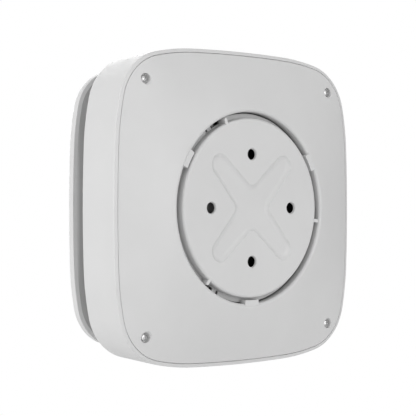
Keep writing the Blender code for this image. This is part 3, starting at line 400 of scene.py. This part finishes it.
class Nodes:
    """A material's node tree, with short ways to add and join nodes."""

    def __init__(self, name, roughness=0.5, metallic=0.0, ior=1.47):
        self.material = bpy.data.materials.new(name)
        self.material.use_nodes = True
        self.tree = self.material.node_tree
        self.shader = self.tree.nodes["Principled BSDF"]
        self.shader.inputs["Roughness"].default_value = roughness
        self.shader.inputs["Metallic"].default_value = metallic
        self.shader.inputs["IOR"].default_value = ior
        self.place = self.tree.nodes.new("ShaderNodeTexCoord").outputs["Object"]

    def link(self, source, node, socket):
        self.tree.links.new(source, node.inputs[socket])

    def noise(self, scale, detail=3.0, roughness=0.5):
        node = self.tree.nodes.new("ShaderNodeTexNoise")
        node.inputs["Scale"].default_value = scale
        node.inputs["Detail"].default_value = detail
        node.inputs["Roughness"].default_value = roughness
        self.link(self.place, node, "Vector")
        return node.outputs["Fac"]

    def ramp(self, value, stops):
        """A colour ramp. A stop is (position, colour)."""
        node = self.tree.nodes.new("ShaderNodeValToRGB")
        elements = node.color_ramp.elements
        while len(elements) < len(stops):
            elements.new(0.5)
        for element, (position, colour) in zip(elements, stops):
            element.position = position
            element.color = (*colour, 1)
        self.link(value, node, "Fac")
        return node.outputs["Color"]

    def grade(self, value, low, high, from_low=0.3, from_high=0.7):
        """A value spread from one range onto another."""
        node = self.tree.nodes.new("ShaderNodeMapRange")
        ends = {"From Min": from_low, "From Max": from_high, "To Min": low, "To Max": high}
        for socket, number in ends.items():
            node.inputs[socket].default_value = number
        self.link(value, node, "Value")
        return node.outputs["Result"]

    def reach(self):
        """How far a point lies from the middle axis, and how deep it lies in front of the wall."""
        split = self.tree.nodes.new("ShaderNodeSeparateXYZ")
        self.link(self.place, split, "Vector")
        flat = self.tree.nodes.new("ShaderNodeCombineXYZ")
        self.link(split.outputs["X"], flat, "X")
        self.link(split.outputs["Z"], flat, "Y")
        length = self.tree.nodes.new("ShaderNodeVectorMath")
        length.operation = "LENGTH"
        self.link(flat.outputs["Vector"], length, 0)
        depth = self.tree.nodes.new("ShaderNodeMath")
        depth.operation = "MULTIPLY"
        depth.inputs[1].default_value = -1
        self.link(split.outputs["Y"], depth, 0)
        return length.outputs["Value"], depth.outputs["Value"]

    def math(self, operation, first, second):
        """One operation on two values, of which the second may be a number."""
        node = self.tree.nodes.new("ShaderNodeMath")
        node.operation = operation
        self.link(first, node, 0)
        if isinstance(second, float):
            node.inputs[1].default_value = second
        else:
            self.link(second, node, 1)
        return node.outputs["Value"]

    def scaled(self, source, share):
        """A colour made darker or lighter by a share."""
        node = self.tree.nodes.new("ShaderNodeVectorMath")
        node.operation = "SCALE"
        self.link(source, node, 0)
        self.link(share, node, "Scale")
        return node.outputs["Vector"]

    def painted_groove_shade(self, source, groove_shades):
        """A colour with painted shade: made darker deep in a groove, where shade falls. A groove shade is
        (start, end, share left, outermost radius).
        """
        for start, end, left, outermost in groove_shades:
            radius, depth = self.reach()
            share = self.grade(depth, 1, left, start, end)
            outside = self.grade(radius, 0, 1, outermost, outermost + 0.1 * MM)
            source = self.scaled(source, self.math("MAXIMUM", share, outside))
        return source

    def painted_gap_shading(self, source, start, end, inner, outer):
        """Painted shading in the gap under the front plate: a colour scaled from inner to outer between two
        distances from the middle of the square, darker deep in the gap where shade falls and lighter towards
        the plate's rim as painted light.
        """
        split = self.tree.nodes.new("ShaderNodeSeparateXYZ")
        self.link(self.place, split, "Vector")
        across, up = (self.math("ABSOLUTE", split.outputs[axis], 0.0) for axis in "XZ")
        towards_side = self.math("MAXIMUM", across, up)
        return self.scaled(source, self.grade(towards_side, inner, outer, start, end))

    def colour(self, source):
        self.link(source, self.shader, "Base Color")

    def rough(self, source):
        self.link(source, self.shader, "Roughness")

    def bump(self, *layers):
        """Relief from (height, distance in metres) layers, one on the other."""
        normal = None
        for height, distance in layers:
            node = self.tree.nodes.new("ShaderNodeBump")
            node.inputs["Distance"].default_value = distance
            self.link(height, node, "Height")
            if normal:
                self.link(normal, node, "Normal")
            normal = node.outputs["Normal"]
        self.link(normal, self.shader, "Normal")


def moulded_plastic(name, colour, roughness=0.46, grain=1.0, groove_shades=(), rim=None):
    """Moulded plastic: faint flow clouds, a fine spark-eroded grain and uneven sheen, with painted shade in
    grooves and painted shading in the gap under the front plate where given.
    """
    nodes = Nodes(name, roughness)
    light = [min(1, c * 1.012) for c in colour]
    dark = [c * 0.985 for c in colour]
    clouds = nodes.noise(38, detail=4)
    # painted shade in grooves, and painted shading across the gap, go into the colour here
    shades = nodes.painted_groove_shade(nodes.ramp(clouds, [(0.35, dark), (0.65, light)]), groove_shades)
    nodes.colour(nodes.painted_gap_shading(shades, *rim) if rim else shades)
    nodes.rough(nodes.grade(nodes.noise(240, detail=5), roughness - 0.05, roughness + 0.06))
    pits = nodes.noise(4200, detail=2, roughness=0.6)
    peel = nodes.noise(650, detail=3)
    nodes.bump((peel, 0.006 * MM * grain), (pits, 0.009 * MM * grain))
    return nodes.material


PALE = (0.62, 0.62, 0.62)
WELL_REACH = 38.4 * MM  # the cover's painted shade darkens it only inside this radius
ANY_REACH = 0.1  # wider than the bracket
# painted shade: the cover's well and the bracket's skirt and flange darken with depth, where shade falls in
# the groove between them
COVER_PAINTED_SHADE = [(1.8 * MM, 4.5 * MM, 0.35, WELL_REACH), (6 * MM, 8 * MM, 0.1, WELL_REACH)]
BRACKET_PAINTED_SHADE = [(1.8 * MM, 3.6 * MM, 0.74, ANY_REACH), (3.9 * MM, 4.6 * MM, 0.3, ANY_REACH)]
# painted shade and light on the sound outlet: darker deep in the gap under the front plate, lighter towards
# the plate's rim
GAP_PAINTED_SHADING = (53.6 * MM, 56.8 * MM, 0.62, 1.4)

WHITE = moulded_plastic("white_plastic", PALE)
# copies of the white plastic with painted shade in the cover's well, the bracket's groove and the gap under
# the front plate
COVER_WHITE = moulded_plastic("cover_plastic", PALE, groove_shades=COVER_PAINTED_SHADE)
BRACKET_WHITE = moulded_plastic("bracket_plastic", PALE, 0.5, groove_shades=BRACKET_PAINTED_SHADE)
OUTLET_WHITE = moulded_plastic("outlet_plastic", PALE, rim=GAP_PAINTED_SHADING)
BUTTON_WHITE = moulded_plastic("button_plastic", (0.60, 0.60, 0.605), 0.4, 0.6)
DARK = moulded_plastic("dark_plastic", (0.045, 0.045, 0.05), 0.5)


def metal(name, colour, roughness=0.25):
    nodes = Nodes(name, roughness, 1.0, 2.5)
    dark = [c * 0.8 for c in colour]
    nodes.colour(nodes.ramp(nodes.noise(900, detail=4), [(0.3, dark), (0.6, colour)]))
    nodes.rough(nodes.grade(nodes.noise(2500, detail=3), roughness * 0.7, roughness * 1.5))
    nodes.bump((nodes.noise(5200, detail=2), 0.004 * MM))
    return nodes.material


STEEL = metal("steel", (0.72, 0.72, 0.72), 0.34)
BRASS = metal("brass", (0.72, 0.52, 0.22), 0.3)


def coated(name, light, dark, scale, roughness, relief):
    """A coloured surface with cloudy shades and a little relief at one scale."""
    nodes = Nodes(name, roughness)
    value = nodes.noise(scale, detail=5)
    nodes.colour(nodes.ramp(value, [(0.35, dark), (0.65, light)]))
    nodes.rough(nodes.grade(nodes.noise(scale * 3), roughness * 0.8, min(1, roughness * 1.2)))
    nodes.bump((value, relief))
    return nodes.material


RUBBER = coated("gasket_rubber", (0.13, 0.13, 0.13), (0.09, 0.09, 0.09), 1800, 0.8, 0.01 * MM)
CERAMIC = coated("piezo_ceramic", (0.74, 0.68, 0.54), (0.66, 0.60, 0.47), 900, 0.6, 0.005 * MM)
BOARD = coated("circuit_board", (0.02, 0.17, 0.07), (0.015, 0.13, 0.05), 700, 0.35, 0.005 * MM)
CHIP = coated("chip_epoxy", (0.028, 0.028, 0.028), (0.018, 0.018, 0.018), 3500, 0.55, 0.005 * MM)
CELL = coated("cell_sleeve", (0.11, 0.17, 0.32), (0.08, 0.13, 0.26), 300, 0.35, 0.01 * MM)
RED_WIRE = coated("red_wire", (0.55, 0.035, 0.03), (0.46, 0.025, 0.02), 900, 0.45, 0.004 * MM)
BLACK_WIRE = coated("black_wire", (0.03, 0.03, 0.03), (0.018, 0.018, 0.018), 900, 0.45, 0.004 * MM)


def clear_plastic(name, colour):
    nodes = Nodes(name, 0.15, ior=1.49)
    nodes.shader.inputs["Transmission Weight"].default_value = 0.75
    nodes.colour(nodes.ramp(nodes.noise(260), [(0.3, [c * 0.96 for c in colour]), (0.7, colour)]))
    nodes.rough(nodes.grade(nodes.noise(1200), 0.1, 0.22))
    nodes.bump((nodes.noise(800), 0.004 * MM))
    return nodes.material


CLEAR = clear_plastic("clear_plastic", (0.85, 0.88, 0.9))
LAMP = clear_plastic("lamp", (0.9, 0.85, 0.7))

CARRIED_OVER = [
    (DARK, "dust_mesh test_switch power_switch tamper_switch boost_coil storage_capacitor sounder_case"),
    (DARK, "battery_holder_1 battery_holder_2"),
    (RUBBER, "cover_gasket"),
    (STEEL, "test_button_spring tamper_spring battery_spring_1 battery_spring_2 radio_shield"),
    (STEEL, "battery_contact_1 battery_contact_2"),
    (BRASS, "piezo_plate antenna"),
    (CERAMIC, "piezo_ceramic"),
    (BOARD, "circuit_board"),
    (CHIP, "microcontroller sounder_driver"),
    (CELL, "battery_cell_1 battery_cell_2"),
    (RED_WIRE, "sounder_lead_red"),
    (BLACK_WIRE, "sounder_lead_black"),
    (LAMP, "status_lamp"),
]


def paint_carried_over():
    """Gives each frame node that stays in view its material."""
    for look, names in CARRIED_OVER:
        for name in names.split():
            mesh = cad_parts[name].data
            mesh.materials.clear()
            mesh.materials.append(look)


# ---------------------------------------------------------------- wall bracket

def back_from_rib(stretch):
    """A stretch of angle measured back from each of the three ribs."""
    start, end = stretch
    return [(tab + RIB_LEAD - end, tab + RIB_LEAD - start) for tab in TAB_ANGLES]


def bracket_disc():
    """The bracket's plate with its sunk X, its skirt and its flange, in one skin from the X outwards."""
    like = cross_outline(0)
    shares = [i / CROSS_STEPS for i in range(CROSS_STEPS, -1, -1)]
    wall = [(CROSS_SLOPE * share, CROSS_DEPTH * (1 - (1 - share) ** 2)) for share in shares]
    wall = [(CROSS_FLOOR, CROSS_DEPTH)] + wall + [(-0.15 * MM, 0), (-CROSS_BEVEL, 0)]
    face = [(cross_outline(inset), depth) for inset, depth in wall]
    rim = circle(BRACKET_RADIUS - BRACKET_EDGE, like)
    face += [(between(cross_outline(-CROSS_BEVEL), rim, share), 0) for share in (0.35, 0.7)]
    outer = rounded(
        [
            (BRACKET_RADIUS - BRACKET_EDGE - BRACKET_BAND, 0),
            (BRACKET_RADIUS, 0),
            (BRACKET_RADIUS, FLANGE_DEPTH),
            (FLANGE_RADIUS, FLANGE_DEPTH),
            (FLANGE_RADIUS, FLANGE_BOTTOM),
            (BRACKET_RADIUS - SKIRT_WALL, FLANGE_BOTTOM),
            (BRACKET_RADIUS - SKIRT_WALL, BRACKET_THICKNESS),
        ],
        [0, BRACKET_EDGE, 0.25 * MM, 0.25 * MM, 0.2 * MM, 0.2 * MM, 0.3 * MM],
        steps=7,
    )
    around = [(circle(radius, like), depth) for radius, depth in outer]
    back = CROSS_DEPTH + BRACKET_THICKNESS
    under = rounded(
        [
            (-1.6 * MM, BRACKET_THICKNESS),
            (-0.6 * MM, BRACKET_THICKNESS),
            (0.5 * MM, back),
            (2.0 * MM, back),
        ],
        [0, 0.4 * MM, 0.4 * MM, 0],
    )
    inner = [(cross_outline(inset), depth) for inset, depth in under]
    return loft("mounting_bracket", face + around + inner, BRACKET_WHITE)


def mounting_bracket():
    bracket = bracket_disc()
    skirt = BRACKET_RADIUS - SKIRT_WALL / 2
    cutters = []
    for number, (start, end) in enumerate(back_from_rib(NOTCH)):
        shape = sector(NOTCH_RADIUS, FLANGE_RADIUS + 2 * MM, start, end)
        cutters.append(prism(f"notch_{number}", shape, FLANGE_DEPTH - 0.5 * MM, FLANGE_BOTTOM + PAST))
    hole = rounded(
        [
            (HOLE_MOUTH, -0.4 * MM),
            (HOLE_RADIUS, 0.25 * MM),
            (HOLE_NECK, 0.95 * MM),
            (HOLE_UNDERCUT, 2.2 * MM),
            (HOLE_UNDERCUT, 4 * MM),
        ],
        [0, 0.4 * MM, 0, 0, 0],
    )
    for k in range(4):
        x, y = HOLE_CIRCLE_RADIUS * direction(k * pi / 2)
        cutters.append(turned(f"wall_hole_{k}", hole, x, y, sides=64))
    cut(bracket, *cutters)
    blocks = [
        ("foot", FOOT, 0.3 * MM, FLANGE_BOTTOM - 0.6 * MM, FOOT_BOTTOM),
        ("tongue", TONGUE, 0.1 * MM, FLANGE_DEPTH + 0.1 * MM, FLANGE_BOTTOM - 0.1 * MM),
        ("heel", HEEL, 0.1 * MM, FLANGE_DEPTH + 0.9 * MM, FLANGE_BOTTOM - 0.1 * MM),
    ]
    added = []
    for name, stretch, inset, near, far in blocks:
        for number, (start, end) in enumerate(back_from_rib(stretch)):
            shape = sector(skirt, FLANGE_RADIUS - inset, start, end)
            added.append(prism(f"{name}_{number}", shape, near, far))
    half = RIB_THICKNESS / 2
    outer = OPENING_RADIUS - GAP
    turns = [-pi / 2 + pi * i / 8 for i in range(1, 8)]
    for number, tab in enumerate(TAB_ANGLES):
        shape = [Vector(p) for p in ((skirt, -half), (outer - half, -half))]
        shape += [Vector((outer - half, 0)) + half * direction(turn) for turn in turns]
        shape += [Vector(p) for p in ((outer - half, half), (skirt, half))]
        shape = [Matrix.Rotation(tab + RIB_LEAD, 2) @ p for p in shape]
        added.append(prism(f"rib_{number}", shape, BRACKET_EDGE / 4, FLANGE_DEPTH + 0.5 * MM))
    join(bracket, *added)
    show(bracket, "bracket", "bracket_plastic", "mounting_bracket")


# ---------------------------------------------------------------- back cover

def dome_depth(share):
    """How deep the cover's face lies, from 0 at the opening to 1 at the seam."""
    rise = SEAM_DEPTH - RIM_INSET
    return SEAM_DEPTH - rise * (1 - share) * (1 + DOME_FULLNESS * share)


def cover_skin():
    edge = square_outline(-FIT)
    rim = circle(OPENING_RADIUS + RIM_FILLET, edge)
    inner_edge = square_outline(-COVER_SKIRT)
    inner_rim = circle(OPENING_RADIUS + WELL_WALL, edge)
    well = rounded(
        [
            (OPENING_RADIUS - 2 * MM, WELL_DEPTH),
            (OPENING_RADIUS, WELL_DEPTH),
            (OPENING_RADIUS, RIM_INSET),
            (OPENING_RADIUS + RIM_FILLET * 1.6, RIM_INSET + 0.13 * MM),
        ],
        [0, 0.5 * MM, RIM_FILLET, 0],
        steps=9,
    )
    sections = [(circle(radius, edge), depth) for radius, depth in well[:-1]]
    for i in range(1, DOME_STEPS):
        share = i / DOME_STEPS
        sections.append((between(rim, edge, share), dome_depth(share)))
    sections.append((square_outline(-FIT - 0.1 * MM), SEAM_DEPTH - 0.02 * MM))
    sections.append((edge, SEAM_DEPTH + 0.12 * MM))
    skirt_end = LEDGE_DEPTH - SKIRT_SHORT
    sections += [(edge, skirt_end), (inner_edge, skirt_end)]
    for share in (0.9, 0.7, 0.5, 0.3, 0.1, 0):
        sections.append((between(inner_rim, inner_edge, share), dome_depth(share) + COVER_WALL))
    sections.append((inner_rim, WELL_BOTTOM))
    return loft("back_cover", sections, COVER_WHITE)


def back_cover():
    cover = cover_skin()
    added = []
    outer = OPENING_RADIUS + WELL_WALL / 2
    for number, tab in enumerate(TAB_ANGLES):
        shape = sector(OPENING_RADIUS - TAB_OVERHANG, outer, tab - TAB_WIDTH / 2, tab + TAB_WIDTH / 2)
        added.append(prism(f"tab_{number}", shape, RIM_INSET + 0.05 * MM, FLANGE_DEPTH - 0.2 * MM))
    for number, (start, end) in enumerate(back_from_rib(STOP)):
        shape = sector(STOP_RADIUS, outer, start, end)
        added.append(prism(f"stop_{number}", shape, FLANGE_BOTTOM + GAP, WELL_DEPTH + 0.5 * MM))
    screws = [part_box(f"cover_screw_{n}") for n in range(1, 5)]
    for number, (low, high) in enumerate(screws, 1):
        near, far = -high.y + SCREW_SEAT - 0.9 * MM, LEDGE_DEPTH - GAP
        added.append(peg(f"boss_{number}", COVER_BOSS_RADIUS, *middle(low, high), near, far, sides=48))
    join(cover, *added)
    cutters = []
    for number, (low, high) in enumerate(screws, 1):
        x, y = middle(low, high)
        seat = -high.y + SCREW_SEAT
        surface = -high.y - SCREW_SUNK
        recess = rounded(
            [
                (RECESS_MOUTH, surface - PAST),
                (RECESS_RADIUS, surface + 0.1 * MM),
                (RECESS_RADIUS, seat),
                (RECESS_BORE, seat),
                (RECESS_BORE, LEDGE_DEPTH + PAST),
            ],
            [0, 0.25 * MM, 0.15 * MM, 0, 0],
        )
        cutters.append(turned(f"recess_{number}", recess, x, y, sides=64))
    for name, radius in (("power_button", POWER_HOLE), ("tamper_plunger", PLUNGER_HOLE)):
        x, y = middle(*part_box(name))
        cutters.append(peg(name + "_hole", radius, x, y, WELL_DEPTH / 2, LEDGE_DEPTH + PAST, sides=48))
    cut(cover, *cutters)
    show(cover, "housing", "white_plastic", "back_cover")


# ---------------------------------------------------------------- shell, sound outlet, front plate

def housing_shell():
    profile = rounded(
        [
            (LIP - SHELL_WALL - 3 * MM, SHELL_FLOOR),
            (LIP - SHELL_WALL, SHELL_FLOOR),
            (LIP - SHELL_WALL, LEDGE_DEPTH),
            (0, LEDGE_DEPTH),
            (0, SEAM_DEPTH - 0.05 * MM),
            (LIP, SEAM_DEPTH + LIP_FALL),
            (LIP - SHELL_DRAFT, SHELL_FRONT),
            (LIP - SHELL_DRAFT - 4 * MM, SHELL_FRONT),
        ],
        [0, 0.5 * MM, 0.15 * MM, 0.1 * MM, 0.12 * MM, 0.5 * MM, 0.6 * MM, 0],
        steps=7,
    )
    shell = loft("housing_shell", [(square_outline(offset), depth) for offset, depth in profile], WHITE)
    cover_post = (COVER_POST_RADIUS, LEDGE_DEPTH, COVER_POST_BORE)
    board_post = (BOARD_POST_RADIUS, BOARD_POST_TOP, BOARD_POST_BORE)
    posts = [(f"cover_screw_{n}", *cover_post) for n in range(1, 5)]
    posts += [(f"board_screw_{n}", *board_post) for n in range(1, 5)]
    added, cutters = [], []
    for node, radius, near, bore in posts:
        x, y = middle(*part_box(node))
        added.append(peg(node + "_post", radius, x, y, near, SHELL_FLOOR + FRONT_WALL / 2, sides=40))
        cutters.append(peg(node + "_bore", bore, x, y, near - PAST, SHELL_FLOOR, sides=32))
    join(shell, *added)
    holes = [(0, 0, STEM_HOLE), (0, LENS_HEIGHT, GUIDE_HOLE), (SOUNDER_X, 0, SOUNDER_HOLE)]
    holes += [(sx * PLATE_SCREW_SPREAD, sy * PLATE_SCREW_SPREAD, PLATE_SCREW_HOLE) for sx, sy in CORNERS]
    near, far = SHELL_FLOOR - PAST, SHELL_FRONT + PAST
    for number, (x, y, radius) in enumerate(holes):
        cutters.append(peg(f"front_hole_{number}", radius, x, y, near, far, sides=40))
    cut(shell, *cutters)
    show(shell, "housing", "white_plastic", "housing_shell")


def sound_outlet():
    neck, edge = NECK_OFFSET, -PLATE_INSET - PLATE_BAND - 0.05 * MM
    foot, root = SHELL_FRONT + FIT, NECK_ROOT
    profile = rounded(
        [
            (neck - NECK_WALL, foot),
            (neck, foot),
            (neck, root),
            (edge, PLATE_REAR),
            (edge, PLATE_REAR + FLANGE_SKIN),
            (neck, root + FLANGE_SKIN),
            (neck - NECK_WALL, root + FLANGE_SKIN),
        ],
        [0, 0, 1.0 * MM, 0, 0, 0.5 * MM, 0],
        steps=8,
    )
    sections = [(plate_outline(offset), depth) for offset, depth in profile]
    outlet = loft("sound_outlet", sections, OUTLET_WHITE, closed=True)
    cutters = []
    near = foot + (root - SLOT_MARGIN - foot - SLOT_HEIGHT) / 2
    for number in range(SLOTS_A_SIDE):
        middle = (number - (SLOTS_A_SIDE - 1) / 2) * SLOT_PITCH
        for way in (0, 1):
            low, high = middle - SLOT_WIDTH / 2, middle + SLOT_WIDTH / 2
            left, right = -SEAM_HALF, SEAM_HALF
            shape = [Vector(p) for p in ((left, low), (right, low), (right, high), (left, high))]
            if way:
                shape = [Vector((p.y, p.x)) for p in shape]
            cutters.append(prism(f"slot_{number}_{way}", shape, near, near + SLOT_HEIGHT))
    cut(outlet, *cutters)
    show(outlet, "housing", "white_plastic", "sound_outlet")


def front_plate():
    skin = DEPTH - PLATE_SKIN
    inner, outer = -PLATE_INSET - PLATE_BAND, -PLATE_INSET
    slope = (PLATE_REAR - NECK_ROOT) / (inner - NECK_OFFSET)
    profile = rounded(
        [
            (inner - 6 * MM, skin),
            (inner, skin),
            (inner, PLATE_REAR),
            (outer, PLATE_REAR + slope * PLATE_BAND),
            (outer, DEPTH),
            (inner - 8 * MM, DEPTH),
        ],
        [0, 0.8 * MM, 0, 0.35 * MM, 1.5 * MM, 0],
        steps=8,
    )
    front = loft("front_plate", [(plate_outline(offset), depth) for offset, depth in profile], WHITE)
    hole = rounded(
        [
            (BUTTON_MOUTH, DEPTH + PAST),
            (BUTTON_EDGE, DEPTH),
            (BUTTON_HOLE, DEPTH - 0.3 * MM),
            (BUTTON_HOLE, skin - 2 * MM),
        ],
        [0, 0.1 * MM, 0.2 * MM, 0],
    )
    added, cutters = [], [turned("button_hole", hole)]
    for number, (sx, sy) in enumerate(CORNERS):
        x, y = sx * PLATE_SCREW_SPREAD, sy * PLATE_SCREW_SPREAD
        near, far = SHELL_FRONT + FIT, skin + PAST
        added.append(peg(f"plate_boss_{number}", PLATE_BOSS_RADIUS, x, y, near, far, sides=40))
        near, far = SHELL_FRONT - PAST, SHELL_FRONT + PLATE_BORE_DEPTH
        cutters.append(peg(f"plate_bore_{number}", PLATE_SCREW_HOLE, x, y, near, far, sides=32))
    lens = [(LENS_MOUTH, DEPTH + 0.5 * MM), (LENS_HOLE, DEPTH - 0.15 * MM), (LENS_HOLE, skin - 2 * MM)]
    cutters.append(turned("lens_hole", lens, 0, LENS_HEIGHT, sides=48))
    join(front, *added)
    cut(front, *cutters)
    show(front, "housing", "white_plastic", "front_plate")


# ---------------------------------------------------------------- screws, buttons, light guide

def screw(node, head_height, shank_radius):
    """A domed screw with a cross in its head and a coarse thread, driven towards the front."""
    low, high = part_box(node)
    x, y = middle(low, high)
    head_radius, top, tip = (high.x - low.x) / 2, -high.y, -low.y
    seat = top + head_height
    head = rounded(
        [
            (POLE, top),
            (head_radius * 0.4, top + head_height * 0.06),
            (head_radius * 0.72, top + head_height * 0.3),
            (head_radius * 0.88, top + head_height * 0.7),
            (head_radius * 0.88, seat),
            (shank_radius, seat),
        ],
        [0, 1.2 * MM, 0.6 * MM, 0.15 * MM, 0.1 * MM, 0],
    )
    root = shank_radius * THREAD_ROOT
    thread = []
    for k in range(int((tip - seat - THREAD_FREE) / THREAD_PITCH)):
        depth = seat + THREAD_START + k * THREAD_PITCH
        thread += [(root, depth), (shank_radius, depth + THREAD_PITCH / 2)]
    point = [(root, tip - POINT_LENGTH), (POLE, tip)]
    body = turned(node + "_look", head + thread + point, x, y, STEEL, sides=48)
    arm, slot = head_radius * SLOT_ARM, head_radius * SLOT_HALF
    bars = []
    for number, turn in enumerate((SLOT_TURN, SLOT_TURN + pi / 2)):
        bar = [Vector(p) for p in ((-arm, -slot), (arm, -slot), (arm, slot), (-arm, slot))]
        bar = [Matrix.Rotation(turn, 2) @ p for p in bar]
        bars.append(prism(f"{node}_bar_{number}", moved(bar, x, y), top - PAST, top + head_height * 0.6))
    cut(body, *bars)
    show(body, "housing", "steel", node)


def dished(r):
    """How deep the test button's face lies, r millimetres from its middle."""
    return DEPTH - DISH_DEPTH * (1 - (r / DISH_RADIUS) ** 2) ** 2


def test_button():
    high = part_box("test_button")[1]
    skin = DEPTH - PLATE_SKIN - FIT
    flange = skin - COLLAR
    dish = [(r * MM, dished(r)) for r in (0.3, 2, 4, 6, 8, 10, DISH_RADIUS)]
    side = rounded(
        [
            (11.8 * MM, DEPTH),
            (BUTTON_RADIUS, DEPTH),
            (BUTTON_RADIUS, skin),
            (high.x, skin),
            (high.x, flange),
            (BUTTON_STEM, flange),
            (BUTTON_STEM, -high.y),
            (0.3 * MM, -high.y),
        ],
        [0, 0.45 * MM, 0, 0.2 * MM, 0.2 * MM, 0.4 * MM, 0.3 * MM, 0],
    )
    button = turned("test_button_look", dish + side, look=BUTTON_WHITE, sides=128)
    show(button, "test_button", "button_plastic", "test_button")


def power_button():
    low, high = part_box("power_button")
    x, _ = middle(low, high)
    top, end = -high.y, -low.y
    flange = WELL_BOTTOM + GAP
    profile = rounded(
        [
            (POLE, top),
            (POWER_RADIUS, top),
            (POWER_RADIUS, flange),
            (POWER_COLLAR, flange),
            (POWER_COLLAR, flange + COLLAR),
            (POWER_STEM, flange + COLLAR),
            (POWER_STEM, end),
            (POLE, end),
        ],
        [0, 0.5 * MM, 0.1 * MM, 0.15 * MM, 0.15 * MM, 0.2 * MM, 0.2 * MM, 0],
    )
    button = turned("power_button_look", profile, x, 0, BUTTON_WHITE, sides=64)
    show(button, "power_button", "button_plastic", "power_button")


def tamper_plunger():
    low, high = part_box("tamper_plunger")
    _, y = middle(low, high)
    tip, end = -high.y, -low.y
    profile = rounded(
        [
            (POLE, tip),
            (PLUNGER_RADIUS, tip),
            (PLUNGER_RADIUS, end - COLLAR),
            (PLUNGER_FOOT, end - COLLAR),
            (PLUNGER_FOOT, end),
            (POLE, end),
        ],
        [0, 0.7 * MM, 0.1 * MM, 0.15 * MM, 0.15 * MM, 0],
    )
    plunger = turned("tamper_plunger_look", profile, 0, y, DARK, sides=64)
    show(plunger, "tamper_plunger", "dark_plastic", "tamper_plunger")


def light_guide():
    low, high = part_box("light_guide")
    _, y = middle(low, high)
    skin = DEPTH - PLATE_SKIN - FIT
    profile = rounded(
        [
            (POLE, DEPTH),
            (GUIDE_RADIUS, DEPTH - 0.15 * MM),
            (GUIDE_RADIUS, skin),
            (GUIDE_COLLAR, skin),
            (GUIDE_COLLAR, skin - COLLAR),
            (GUIDE_RADIUS, skin - COLLAR),
            (GUIDE_RADIUS, -high.y),
            (POLE, -high.y),
        ],
        [0, 0.3 * MM, 0.05 * MM, 0.15 * MM, 0.15 * MM, 0.15 * MM, 0.2 * MM, 0],
    )
    guide = turned("light_guide_look", profile, 0, y, CLEAR, sides=48)
    show(guide, "housing", "clear_plastic", "light_guide")


mounting_bracket()
back_cover()
housing_shell()
sound_outlet()
front_plate()
for n in range(1, 5):
    screw(f"cover_screw_{n}", head_height=0.8 * MM, shank_radius=0.9 * MM)
    screw(f"plate_screw_{n}", head_height=1.2 * MM, shank_radius=1.0 * MM)
    screw(f"board_screw_{n}", head_height=0.8 * MM, shank_radius=0.8 * MM)
test_button()
power_button()
tamper_plunger()
light_guide()
paint_carried_over()


# ---------------------------------------------------------------- floor, lights and camera

FLOOR_HALF = 1
FLOOR_HEIGHT = -0.4
FLOOR_DARK, FLOOR_LIGHT = (0.71,) * 3, (0.73,) * 3
WORLD_LIGHT = 0.357
LAMP_SIZE = 1
LAMPS = [  # name, place, watts
    ("behind", (-0.3, 1.45, 0.2), 9.9),
    ("aside", (1.1, 1.1, 0), 4.0),
    ("beside", (1.4, -0.5, 0.1), 12.0),
    ("above", (0.75, 0.3, 1.3), 6.0),
    ("fill", (-0.5, -1.4, 0.4), 12.5),
]
CAMERA_PLACE = (0.3596, 0.3918, 0)  # fitted to the photo, like the next two
CAMERA_LOOK = (-0.6517, -0.7585, 0)
CAMERA_LENS, CAMERA_SENSOR = 117.1, 36  # in millimetres


def plain_floor():
    bm = bmesh.new()
    bmesh.ops.create_grid(bm, x_segments=2, y_segments=2, size=FLOOR_HALF)
    floor = finished("floor", bm, None)
    floor.location.z = FLOOR_HEIGHT
    nodes = Nodes("floor_paint", 0.9)
    nodes.colour(nodes.ramp(nodes.noise(3), [(0.3, FLOOR_DARK), (0.7, FLOOR_LIGHT)]))
    floor.data.materials.append(nodes.material)


def studio_world():
    """White to look at, and a softer grey light from all round."""
    world = bpy.data.worlds.new("studio")
    bpy.context.scene.world = world
    world.use_nodes = True
    tree = world.node_tree
    tree.nodes.clear()
    path = tree.nodes.new("ShaderNodeLightPath")
    seen, light = (tree.nodes.new("ShaderNodeBackground") for _ in range(2))
    seen.inputs["Color"].default_value = (1, 1, 1, 1)
    light.inputs["Color"].default_value = (1, 1, 1, 1)
    light.inputs["Strength"].default_value = WORLD_LIGHT
    mix = tree.nodes.new("ShaderNodeMixShader")
    out = tree.nodes.new("ShaderNodeOutputWorld")
    tree.links.new(path.outputs["Is Camera Ray"], mix.inputs["Fac"])
    tree.links.new(light.outputs[0], mix.inputs[1])
    tree.links.new(seen.outputs[0], mix.inputs[2])
    tree.links.new(mix.outputs[0], out.inputs[0])


def soft_light(name, place, watts):
    lamp = bpy.data.lights.new(name, "AREA")
    lamp.energy = watts
    lamp.size = LAMP_SIZE
    obj = bpy.data.objects.new(name, lamp)
    obj.location = place
    obj.rotation_euler = (-Vector(place)).to_track_quat("-Z", "Y").to_euler()
    bpy.context.scene.collection.objects.link(obj)


def camera():
    """Behind the sounder and to its left, level with its middle."""
    lens = bpy.data.cameras.new("camera")
    lens.sensor_width = CAMERA_SENSOR
    lens.lens = CAMERA_LENS
    obj = bpy.data.objects.new("camera", lens)
    obj.location = CAMERA_PLACE
    obj.rotation_euler = Vector(CAMERA_LOOK).to_track_quat("-Z", "Y").to_euler()
    bpy.context.scene.collection.objects.link(obj)
    bpy.context.scene.camera = obj


plain_floor()
studio_world()
for lamp in LAMPS:
    soft_light(*lamp)
camera()
bpy.context.scene.view_settings.view_transform = "Standard"
